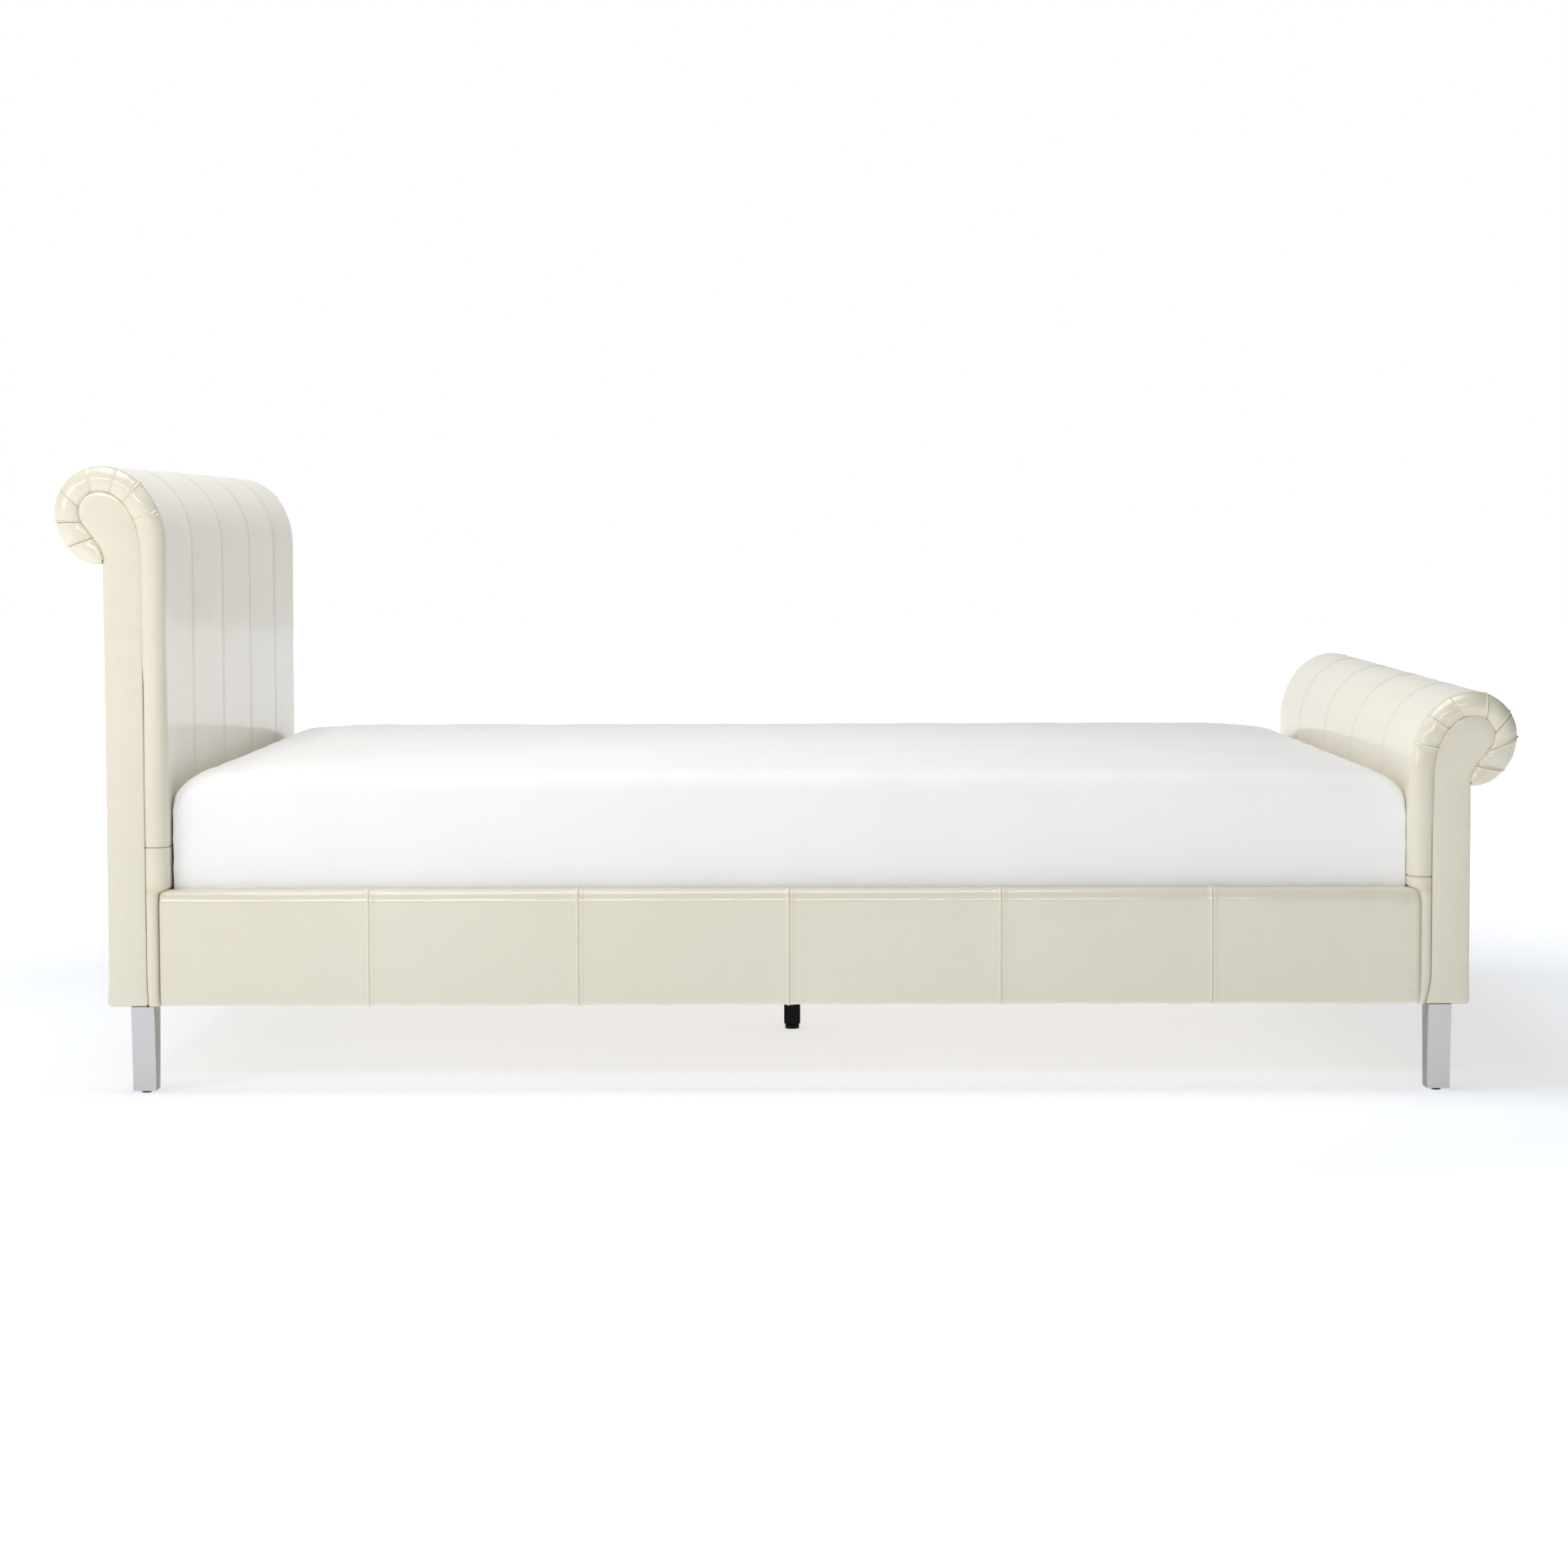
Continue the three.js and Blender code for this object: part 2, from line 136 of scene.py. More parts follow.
def rolled(distance, radius):
    """How far a rounded edge has dropped at this distance from it."""
    t = np.clip(distance, 0, radius)
    return radius - np.sqrt(radius**2 - (radius - t) ** 2)


def undulation(x, y, wavelength, seed):
    """Soft irregular waves, mostly between -0.5 and 0.5."""
    rng = np.random.default_rng(seed)
    total = np.zeros(np.broadcast(x, y).shape)
    for _ in range(7):
        turn, phase = rng.uniform(0, 2 * math.pi, 2)
        k = 2 * math.pi / (wavelength * rng.uniform(0.7, 1.6))
        total += np.sin(k * (x * math.cos(turn) + y * math.sin(turn)) + phase)
    return total / 7


def merged(spacing, *groups):
    """All the values in order, without those closer than spacing to the one before."""
    kept = []
    for value in np.sort(np.concatenate([np.ravel(g) for g in groups])):
        if not kept or value - kept[-1] >= spacing:
            kept.append(value)
    return np.array(kept)


def unit(vectors):
    length = np.linalg.norm(vectors, axis=-1, keepdims=True)
    return vectors / np.maximum(length, 1e-12)


def grid_normals(grid):
    """Unit normals of a grid of points, rows by columns."""
    return unit(np.cross(np.gradient(grid, axis=0), np.gradient(grid, axis=1)))


def run_along(points):
    """Each point's distance from the first, along the line through them all."""
    steps = np.linalg.norm(np.diff(points, axis=0), axis=1)
    return np.concatenate([[0], np.cumsum(steps)])


# ---- Outlines ------------------------------------------------------------------------

def distance_to_outline(points, outline):
    a, b = outline, np.roll(outline, -1, axis=0)
    ab = b - a
    t = np.einsum("pkc,kc->pk", points[:, None] - a[None], ab) / np.sum(ab**2, axis=1)
    foot = a[None] + np.clip(t, 0, 1)[..., None] * ab[None]
    return np.min(np.linalg.norm(points[:, None] - foot, axis=2), axis=1)


def inside_outline(points, outline):
    """True for points inside, by counting the edges to one side of each."""
    a, b = outline, np.roll(outline, -1, axis=0)
    px, pz = points[:, :1], points[:, 1:]
    crosses = (a[:, 1] > pz) != (b[:, 1] > pz)
    dz = np.where(np.abs(b[:, 1] - a[:, 1]) < 1e-12, 1e-12, b[:, 1] - a[:, 1])
    hit = a[:, 0] + (pz - a[:, 1]) / dz * (b[:, 0] - a[:, 0])
    return np.sum(crosses & (px < hit), axis=1) % 2 == 1


def lattice(outline, spacing, margin, staggered=False):
    """Evenly spread points inside an outline, more than margin from it."""
    low, high = outline.min(0), outline.max(0)
    if staggered:
        points = np.array([
            (u, v) for k, v in enumerate(np.arange(low[1], high[1], spacing * 0.87))
            for u in np.arange(low[0] + (k % 2) * spacing / 2, high[0], spacing)
        ])
    else:
        points = np.array([
            (u, v) for u in np.arange(low[0], high[0], spacing)
            for v in np.arange(low[1], high[1], spacing)
        ])
    points = points[inside_outline(points, outline)]
    return points[distance_to_outline(points, outline) > margin]


def triangulated(points, rim):
    """Points and triangles that fill the closed loop made by the first rim of the points."""
    made = delaunay_2d_cdt([Vector(p) for p in points], [], [list(range(rim))], 1, 1e-7)
    return np.array([list(p) for p in made[0]]), [list(f) for f in made[2]]


def filled(rim, spacing, margin):
    """A loop's points with more inside them, and triangles over them all."""
    return triangulated(np.concatenate([rim, lattice(rim, spacing, margin)]), len(rim))


def bent_corner(vertex, start, bends):
    """Points and normals round a corner that would otherwise be sharp at vertex.

    bends are (degrees turned when it ends, radius, points), from the start angle on."""
    points, angles = [np.zeros(2)], [start]
    for turned, radius, count in bends:
        for angle in np.linspace(angles[-1], start + turned, count + 1)[1:]:
            a, b = math.radians(angles[-1]), math.radians(angle)
            step = np.array([math.cos(b) - math.cos(a), math.sin(b) - math.sin(a)])
            points.append(points[-1] + radius * step)
            angles.append(angle)
    points, angles = np.array(points), np.radians(angles)
    along = np.array([-math.sin(angles[0]), math.cos(angles[0])])
    points = points + vertex - along * (points[-1] @ along)
    return points, np.stack([np.cos(angles), np.sin(angles)], -1)


def bent_loop(vertices, bends, counts):
    """Points and normals of a closed loop with bent corners, from (x, y, start angle) corners.

    counts are the numbers of points on the straight that follows each corner."""
    corners = [
        bent_corner(np.array([x, y]), start, bend) for (x, y, start), bend in zip(vertices, bends)
    ]
    points, normals = [], []
    for k, (corner, facing) in enumerate(corners):
        begin, finish = corner[-1], corners[(k + 1) % 4][0][0]
        share = np.linspace(0, 1, counts[k] + 2)[1:-1, None]
        points += [corner, begin + (finish - begin) * share]
        normals += [facing, np.repeat(facing[-1:], counts[k], axis=0)]
    return np.concatenate(points), np.concatenate(normals)


# ---- Meshes --------------------------------------------------------------------------

def new_mesh(name, points, faces):
    mesh = bpy.data.meshes.new(name)
    mesh.from_pydata(np.asarray(points, float).tolist(), [], [list(map(int, f)) for f in faces])
    return mesh


def in_scene(name, data):
    thing = bpy.data.objects.new(name, data)
    bpy.context.scene.collection.objects.link(thing)
    return thing


def make_piece(name, mesh, material, body=FRAME_BODY, crevice=None):
    """A smooth-shaded piece with its faces turned outward. crevice paints shade into the leather's
    colour.
    """
    bm = bmesh.new()
    bm.from_mesh(mesh)
    bmesh.ops.recalc_face_normals(bm, faces=bm.faces)
    bm.to_mesh(mesh)
    bm.free()
    mesh.shade_smooth()
    mesh.materials.append(material)
    if crevice is not None:
        # crevice holds painted shade, from 0 to 1
        layer = mesh.attributes.new("crevice", "FLOAT", "POINT")
        layer.data.foreach_set("value", np.asarray(crevice, np.float32).ravel())
    piece = in_scene(name, mesh)
    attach(piece, body)
    return piece


def stand_in(node, mesh, material, body=FRAME_BODY, crevice=None):
    """A piece that stands for the CAD node with its name."""
    piece = make_piece(node, mesh, material, body, crevice)
    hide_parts(node)
    return piece


def loft_faces(rows, columns, first=0):
    """Quads between closed loops of points that follow each other in a list."""
    i, j = np.meshgrid(np.arange(rows - 1), np.arange(columns), indexing="ij")
    k = (j + 1) % columns
    corners = [i * columns + j, i * columns + k, (i + 1) * columns + k, (i + 1) * columns + j]
    return (first + np.stack(corners, -1).reshape(-1, 4)).tolist()


def closed_loft(loops):
    """Points and faces of a solid through closed loops, rows by points, capped at both ends."""
    rows, columns = loops.shape[:2]
    faces = loft_faces(rows, columns)
    faces.append(list(range(columns)))
    faces.append(list(range((rows - 1) * columns, rows * columns)))
    return loops.reshape(-1, 3), faces


def sleeve(outer, inner):
    """A hollow solid between two sets of closed loops with the same numbers of points."""
    rows, columns = outer.shape[:2]
    count = rows * columns
    faces = loft_faces(rows, columns) + loft_faces(rows, columns, count)
    for row in (0, rows - 1):
        for j in range(columns):
            a, b = row * columns + j, row * columns + (j + 1) % columns
            faces.append([a, b, b + count, a + count])
    return np.concatenate([outer.reshape(-1, 3), inner.reshape(-1, 3)]), faces


def stitch_beads(line, normals):
    """Points and faces of short stitches laid end to end along a line on a surface."""
    run = run_along(line)
    middles = np.arange(STITCH.pitch / 2, run[-1] - STITCH.pitch / 2, STITCH.pitch)

    def at(values, s):
        return np.stack([np.interp(s, run, values[:, k]) for k in range(3)], -1)

    centre = at(line, middles)[:, None]
    along = unit(at(line, middles + STITCH.length / 2) - at(line, middles - STITCH.length / 2))
    aside = unit(np.cross(unit(at(normals, middles)), along))
    up = np.cross(along, aside)
    turn = (np.arange(STITCH.sides) * 2 * math.pi / STITCH.sides)[None, :, None]
    rings = []
    for reach, thickness, lift in STITCH_RINGS:
        radius = STITCH.radius * thickness
        rings.append(
            centre + along[:, None] * (reach * STITCH.length)
            + up[:, None] * (lift * STITCH.radius + radius * np.cos(turn))
            + aside[:, None] * (radius * np.sin(turn))
        )
    per_bead = len(rings) * STITCH.sides
    bead = loft_faces(len(rings), STITCH.sides)
    bead += [list(range(STITCH.sides)), list(range(per_bead - STITCH.sides, per_bead))]
    faces = [[k * per_bead + v for v in face] for k in range(len(middles)) for face in bead]
    return np.stack(rings, 1).reshape(-1, 3), faces


def stitches(name, lines):
    """Rows of stitches along (line, normals), as one piece."""
    points, faces, first = [], [], 0
    for line, normals in lines:
        row, row_faces = stitch_beads(line, normals)
        points.append(row)
        faces += [[first + v for v in face] for face in row_faces]
        first += len(row)
    name = f"{name}_stitches"
    make_piece(name, new_mesh(name, np.concatenate(points), faces), THREAD)


# ---- Materials -----------------------------------------------------------------------

WHITE = (1.0, 1.0, 1.0)


class Nodes:
    """A node tree under construction. Most methods add a node and return its output."""

    def __init__(self, tree):
        self.tree = tree

    def set(self, node, values):
        """Sets a node's inputs to numbers, vectors and colours, or links outputs to them."""
        for key, value in values.items():
            socket = node.inputs[key]
            if isinstance(value, bpy.types.NodeSocket):
                self.tree.links.new(value, socket)
            else:
                socket.default_value = (*value, 1) if socket.type == "RGBA" else value

    def add(self, kind, output, values=None, **settings):
        node = self.tree.nodes.new(f"ShaderNode{kind}")
        for key, value in settings.items():
            setattr(node, key, value)
        self.set(node, values or {})
        return node.outputs[output]

    def space(self, scale=(1, 1, 1)):
        """Object coordinates, which are the bed's own metres, stretched by scale."""
        own = self.add("TexCoord", "Object")
        return self.add("Mapping", "Vector", {"Vector": own, "Scale": scale})

    def noise(self, vector, scale, detail=3.0, roughness=0.5):
        values = {"Vector": vector, "Scale": scale, "Detail": detail, "Roughness": roughness}
        return self.add("TexNoise", "Fac", values)

    def cells(self, vector, scale, feature):
        values = {"Vector": vector, "Scale": scale}
        return self.add("TexVoronoi", "Distance", values, feature=feature)

    def wave(self, vector, scale, direction, distortion=0.0):
        values = {"Vector": vector, "Scale": scale, "Distortion": distortion}
        return self.add("TexWave", "Fac", values, bands_direction=direction)

    def ramp(self, factor, *stops):
        """A colour ramp between two (position, colour) stops."""
        output = self.add("ValToRGB", "Color", {"Fac": factor})
        for element, (position, colour) in zip(output.node.color_ramp.elements, stops):
            element.position = position
            element.color = (*colour, 1)
        return output

    def mix(self, factor, first, second, blend="MIX"):
        values = {0: factor, 6: first, 7: second}  # the Mix node's colour inputs are 6 and 7
        return self.add("Mix", 2, values, data_type="RGBA", blend_type=blend)

    def ranged(self, value, low, high):
        return self.add("MapRange", "Result", {"Value": value, "To Min": low, "To Max": high})

    def bump(self, height, distance, strength, under=None):
        values = {"Height": height, "Distance": distance, "Strength": strength}
        if under is not None:
            values["Normal"] = under
        return self.add("Bump", "Normal", values)


class Look(Nodes):
    """A material's nodes."""

    def __init__(self, name):
        self.material = bpy.data.materials.new(name)
        self.material.use_nodes = True
        super().__init__(self.material.node_tree)

    def finish(self, colour, roughness, normal=None, **others):
        """Sets the shader's inputs, others by name with _ for a space, and gives the material."""
        values = {"Base Color": colour, "Roughness": roughness}
        if normal is not None:
            values["Normal"] = normal
        values.update({key.replace("_", " "): value for key, value in others.items()})
        self.set(self.tree.nodes["Principled BSDF"], values)
        return self.material


def leather_material():
    """Pigmented ivory leather: fine pebbled grain, satin finish, with painted yellowish shade in
    the creases.
    """
    look = Look("ivory_leather")
    space = look.space()
    tone = look.ramp(
        look.noise(space, 2.3, 4), (0.30, (0.742, 0.695, 0.566)), (0.70, (0.770, 0.725, 0.600)),
    )
    mottle = look.ramp(
        look.noise(space, 38, 5, 0.6), (0.35, (0.985, 0.984, 0.980)), (0.65, WHITE),
    )
    tone = look.mix(1.0, tone, mottle, "MULTIPLY")
    # Painted shade and painted bounce light: the crevice attribute mixes the leather toward a dark
    # yellow in creases and between parts.
    creases = look.add("Attribute", "Fac", attribute_name="crevice")
    tone = look.mix(creases, tone, (0.60, 0.52, 0.27))
    pebbles = look.bump(look.cells(space, 620, "DISTANCE_TO_EDGE"), 0.25 * MM, 0.22)
    pores = look.bump(look.noise(space, 1500, 2), 0.10 * MM, 0.25, pebbles)
    return look.finish(
        tone, look.ranged(look.noise(space, 55), 0.30, 0.40), pores,
        Specular_IOR_Level=0.35, Coat_Weight=0.62, Coat_Roughness=0.10,
    )


def thread_material():
    """Twisted polyester thread in the leather's colour."""
    look = Look("stitch_thread")
    space = look.space()
    tone = look.ramp(
        look.noise(space, 900, 2), (0.3, (0.70, 0.655, 0.555)), (0.7, (0.80, 0.765, 0.68)),
    )
    return look.finish(tone, 0.5, look.bump(look.wave(space, 700, "DIAGONAL"), 0.1 * MM, 0.5))


def metal_material():
    """Brushed steel, brushed up and down, with its sides that face along the bed painted darker as
    painted shade.
    """
    look = Look("brushed_metal")
    streaks = look.noise(look.space((900, 900, 14)), 1.0, 4, 0.65)
    front = look.ramp(streaks, (0.3, (0.55, 0.545, 0.540)), (0.7, (0.62, 0.615, 0.610)))
    # Painted shade: faces whose normal points along the bed get the darker colour.
    sides = look.ramp(streaks, (0.3, (0.19, 0.178, 0.168)), (0.7, (0.245, 0.228, 0.216)))
    facing = look.add("TexCoord", "Normal")
    facing = look.add("SeparateXYZ", "X", {"Vector": facing})
    facing = look.add("Math", "Value", {0: facing}, operation="ABSOLUTE")
    painted_shade_on_sides = look.ramp(facing, (0.45, (0, 0, 0)), (0.85, WHITE))
    return look.finish(
        look.mix(painted_shade_on_sides, front, sides), look.ranged(streaks, 0.24, 0.42),
        look.bump(streaks, 0.05 * MM, 0.35), Metallic=1.0,
    )


def dark_material(name, colour, roughness, metallic, grain_scale):
    """Powder-coated steel or moulded plastic, with its fine texture."""
    look = Look(name)
    texture = look.noise(look.space(), grain_scale)
    lighter = tuple(c * 1.7 for c in colour)
    return look.finish(
        look.ramp(texture, (0.3, colour), (0.8, lighter)),
        look.ranged(texture, roughness - 0.07, roughness + 0.07),
        look.bump(texture, 0.15 * MM, 0.4), Metallic=metallic, Specular_IOR_Level=0.12,
    )


def wood(look, layers, grain, streaks, roughness):
    """Finishes wood from the colours of its layers, darkened in streaks along its grain."""
    return look.finish(
        look.mix(1.0, layers, look.ramp(grain, *streaks), "MULTIPLY"),
        look.ranged(grain, *roughness), look.bump(grain, 0.3 * MM, 0.4),
    )


def pine_material(name, along):
    """Planed pine whose grain runs along the named axis."""
    look = Look(name)
    fine, slow = 60, 2.2
    scale = {"x": (slow, fine, fine), "y": (fine, slow, fine)}[along]
    grain = look.noise(look.space(scale), 1.0, 5, 0.6)
    coarse = tuple(s * (0.25 if s == fine else 0.8) for s in scale)
    rings = look.noise(look.space(coarse), 1.0, 2)
    layers = look.ramp(rings, (0.35, (0.56, 0.39, 0.21)), (0.62, (0.74, 0.57, 0.36)))
    return wood(look, layers, grain, ((0.35, (0.80, 0.74, 0.66)), (0.6, WHITE)), (0.6, 0.8))


def plywood_material(name, across):
    """Birch plywood: plies stacked along the named axis, which show on the edges."""
    look = Look(name)
    plies = look.wave(look.space(), 110, across, 0.3)
    grain = look.noise(look.space((9, 9, 60)), 1.0, 5, 0.6)
    layers = look.ramp(plies, (0.35, (0.50, 0.33, 0.17)), (0.65, (0.68, 0.50, 0.30)))
    return wood(look, layers, grain, ((0.3, (0.84, 0.80, 0.74)), (0.7, WHITE)), (0.62, 0.85))


def foam_material():
    look = Look("roll_foam")
    pores = look.cells(look.space(), 480, "F1")
    tone = look.ramp(pores, (0.1, (0.52, 0.45, 0.26)), (0.6, (0.80, 0.73, 0.46)))
    return look.finish(tone, 0.95, look.bump(pores, 0.8 * MM, 0.7))


def woven(look, pitch, depth, under=None):
    """A plain weave's normal, with one thread every pitch metres."""
    space = look.space((1 / pitch,) * 3)
    normal = under
    for direction in "XY":
        normal = look.bump(look.wave(space, 0.31, direction, 0.6), depth, 0.35, normal)
    return normal


def cotton_material():
    """Matt white percale, a little creased."""
    look = Look("sheet_cotton")
    space = look.space()
    tone = look.ramp(
        look.noise(space, 5, 4), (0.3, (0.92, 0.92, 0.92)), (0.7, (0.945, 0.944, 0.942)),
    )
    creases = look.bump(look.noise(space, 34, 3, 0.55), 1.5 * MM, 0.10)
    return look.finish(
        tone, look.ranged(look.noise(space, 260), 0.78, 0.92),
        woven(look, 0.45 * MM, 0.10 * MM, creases), Specular_IOR_Level=0.1,
    )


def ticking_material():
    """Off-white mattress ticking with a faint stripe."""
    look = Look("mattress_ticking")
    stripes = look.wave(look.space(), 16, "X")
    tone = look.ramp(stripes, (0.45, (0.78, 0.77, 0.74)), (0.55, (0.84, 0.83, 0.80)))
    return look.finish(tone, 0.9, woven(look, 0.9 * MM, 0.2 * MM))


LEATHER = leather_material()
THREAD = thread_material()
METAL = metal_material()
STEEL = dark_material("black_steel", (0.022, 0.022, 0.024), 0.48, 0.6, 900)
PLASTIC = dark_material("black_plastic", (0.005, 0.005, 0.005), 0.55, 0.0, 1300)
PINE_X = pine_material("pine_along_bed", "x")
PINE_Y = pine_material("pine_across_bed", "y")
PLY_X = plywood_material("plywood_plies_x", "X")
PLY_Y = plywood_material("plywood_plies_y", "Y")
FOAM = foam_material()
COTTON = cotton_material()
TICKING = ticking_material()


# ---- The two ends --------------------------------------------------------------------

class Path:
    """A line in u and z, by its length from the start and by its angle round the roll."""

    def __init__(self, end, points):
        self.points = np.array(points)
        self.run = run_along(self.points)
        self.length = self.run[-1]
        u, z = (self.points - (end.roll_u, end.roll_z)).T
        angle = np.degrees(np.unwrap(np.arctan2(z, u)))
        self.angle = angle + (360 if angle[0] < 0 else 0)

    def at(self, s):
        return np.stack([np.interp(s, self.run, self.points[:, k]) for k in (0, 1)], -1)

    def at_angle(self, degrees):
        """Length from the start to where the line passes this angle."""
        return np.interp(-degrees, -self.angle, self.run)


def arc(cu, cz, ru, rz, start, stop, step=0.4):
    """Points on part of an ellipse, from one angle to another in degrees."""
    count = int(abs(stop - start) / step) + 2
    t = np.radians(np.linspace(start, stop, count))
    return np.stack([cu + ru * np.cos(t), cz + rz * np.sin(t)], -1)


def read_end(name, sign):
    """An end's sizes, from the boxes of its CAD nodes."""
    def span(node):
        low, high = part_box(f"{name}_{node}")
        u0, u1 = sorted((sign * low.x, sign * high.x))
        inner = min(abs(low.y), abs(high.y))
        return SimpleNamespace(u0=u0, u1=u1, w=high.y, inner=inner, z0=low.z, z1=high.z)

    cover, facing, back = span("front_cover"), span("side_facing_left"), span("back_cover")
    _, rail_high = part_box("side_rail_cover_left")
    roll_u = facing.u1 - (SCROLL_R - GAP)
    roll_r = cover.u1 - roll_u
    roll_z = cover.z1 - roll_r
    slope_start = NECK_SLOPE - math.pi / 2
    head_u = roll_u + SCROLL_R * math.cos(slope_start)
    head_z = roll_z + SCROLL_R * math.sin(slope_start)
    neck_u = back.u1 + NECK_FILLET
    fillet_u = neck_u - NECK_FILLET * math.sin(NECK_SLOPE)
    fillet_z = head_z - (head_u - fillet_u) * math.tan(NECK_SLOPE)
    return SimpleNamespace(
        name=name, sign=sign, half=cover.w, front=cover.u0, seam=facing.u0 - GAP, back=back.u1,
        height=cover.z1, cover_seam=cover.z0, underside=facing.z0, back_top=back.z1,
        back_half=back.w, roll_u=roll_u, roll_r=roll_r, roll_z=roll_z,
        shoulder=roll_z - SCROLL_SHOULDER, neck_u=neck_u,
        neck_z=fillet_z - NECK_FILLET * math.cos(NECK_SLOPE), facing_inner=facing.inner,
        rail_top=rail_high.z, rail_inner=abs(rail_high.y), flare=FACING_FLARE[name],
    )


def outer_path(end):
    """Up the front, over the roll and round under it to the back."""
    z = end.height - PAD_SHOULDER
    return Path(end, np.concatenate([
        [[end.front, end.cover_seam]],
        arc(end.roll_u, z, end.roll_u - end.front, PAD_SHOULDER, 180, 90),
        arc(end.roll_u, end.roll_z, end.roll_r, end.roll_r, 90, 0)[1:],
        arc(end.roll_u, end.roll_z, end.roll_r, ROLL_DROP, 0, -90)[1:],
        [[end.back, end.roll_z - ROLL_DROP]],
    ]))


def scroll_points(end, inset=0.0):
    """The facing's scroll from its shoulder, over the round head and down the neck."""
    r = SCROLL_R - inset
    slope = math.degrees(NECK_SLOPE)
    rise = end.roll_z + r - end.shoulder
    fillet = NECK_FILLET + inset
    return np.concatenate([
        arc(end.roll_u, end.shoulder, end.roll_u - end.seam - inset, rise, 180, 90),
        arc(end.roll_u, end.roll_z, r, r, 90, slope - 90)[1:],
        arc(end.neck_u, end.neck_z, fillet, fillet, 90 + slope, 180),
    ])


def place(end, grid):
    """An end's own u, w and z as the bed's x, y and z, with its roll stuffed unevenly."""
    u, w, z = np.moveaxis(grid, -1, 0)
    y = end.sign * w
    rise = np.interp(y, [-end.half, end.half], ROLL_RISE[end.name])
    z = z + rise * smooth(z, end.roll_z - 2 * end.roll_r, end.roll_z + 0.8 * end.roll_r)
    return np.stack([end.sign * u, y, z], -1)


def panel_columns(reach, step=20 * MM):
    """Places across an end, close together at the seams, their stitches and both ends."""
    near = np.array([0, 0.5, 1.0, 1.6, 2.4, 3.6, 5.4, 8.0, 11, 15]) * MM
    seams = np.concatenate([[s + d * near for d in (-1, 1)] for s in PANEL_SEAMS]).ravel()
    plain = np.arange(-reach, reach, step)
    plain = plain[np.min(np.abs(plain[:, None] - PANEL_SEAMS), axis=1) > 17 * MM]
    flank = np.concatenate([
        np.arange(reach - 84 * MM, reach - 14 * MM, 6 * MM), reach - np.arange(14, -1, -1.4) * MM,
    ])
    return merged(0.3 * MM, plain, flank, -flank, seams)


def seam_height(x):
    """Height across a stitched seam: a narrow groove between two rolled edges."""
    x = np.abs(x)
    groove = -1.1 * bell(x, 0.9 * MM)
    edges = 0.25 * bell(x - 2.6 * MM, 2.2 * MM)
    row = -0.15 * bell(x - STITCH_OFFSET, 1.1 * MM)
    return (groove + edges + row) * MM


def panels_relief(end, w, z):
    """Height of an end's panels and seams, and painted shade in the seam grooves, by rows at z and
    columns at w.
    """
    least, most, begin, full, fade, gone = SEAM_DEPTH[end.name]
    depth = least + (most - least) * smooth(z, begin, full) * (1 - smooth(z, fade, gone))
    depth = depth[:, None]
    nearest = np.min(np.abs(w[:, None] - PANEL_SEAMS), axis=1)[None]
    height = depth * seam_height(nearest) + 0.35 * MM * smooth(nearest, 0, 110 * MM)
    # The second value is painted shade along each seam's groove.
    return height, 0.2 * depth * bell(nearest, 0.9 * MM)


def band(outer, inner, half, w_sign):
    """The cover's rounded end, from the facing out to the roll.

    Returns points, and how far each is past the start of the rounding."""
    across = inner - outer
    width = np.linalg.norm(across, axis=1)[:, None]
    direction = across / width
    radius = np.minimum(BAND_ROUND, 0.62 * width)
    rest = width - radius
    dive = np.minimum(BAND_CREVICE, 0.8 * rest)
    turn = np.radians(np.linspace(0, 90, 25))[None]
    fall = np.radians(np.linspace(0, 90, 12)[1:])[None]
    inward = np.concatenate([radius * (1 - np.cos(turn)), radius + rest * np.sin(fall)], 1)
    down = np.concatenate([radius * (1 - np.sin(turn)), dive * (1 - np.cos(fall))], 1)
    past = np.concatenate([radius * turn, radius * math.pi / 2 + rest * fall], 1)
    flat = outer[:, None] + direction[:, None] * inward[..., None]
    return np.stack([flat[..., 0], w_sign * (half - down), flat[..., 1]], -1), past


def pleat_offsets(x, lip, crevice):
    """Height across a fold, and how far its lip leans over the crevice beside it."""
    ridge = lip * (0.74 * bell(x + 1.2 * MM, 1.2 * MM) + 0.30 * bell(x + 2 * MM, 6 * MM))
    ditch = -crevice * bell(x - 1.0 * MM, 0.9 * MM)
    far = 0.15 * lip * bell(x - 5 * MM, 3.5 * MM)
    lean = 0.30 * crevice * bell(x, 1.0 * MM)
    return ridge + ditch + far, lean


def pleat_loop(x, along, size):
    """A fold's outer end: the leather turns round a small dimple and closes."""
    r = np.hypot(x + 3.4 * MM, along * 0.75)
    return size * (0.7 * bell(r - 4.2 * MM, 1.4 * MM) - 0.5 * bell(r, 2.6 * MM))


def front_normals(grid):
    """Unit normals of a cover's grid, which begins on its front, turned outward."""
    normals = grid_normals(grid)
    inward = np.mean(normals[: len(normals) // 2, grid.shape[1] // 2, 0]) > 0
    return -normals if inward else normals


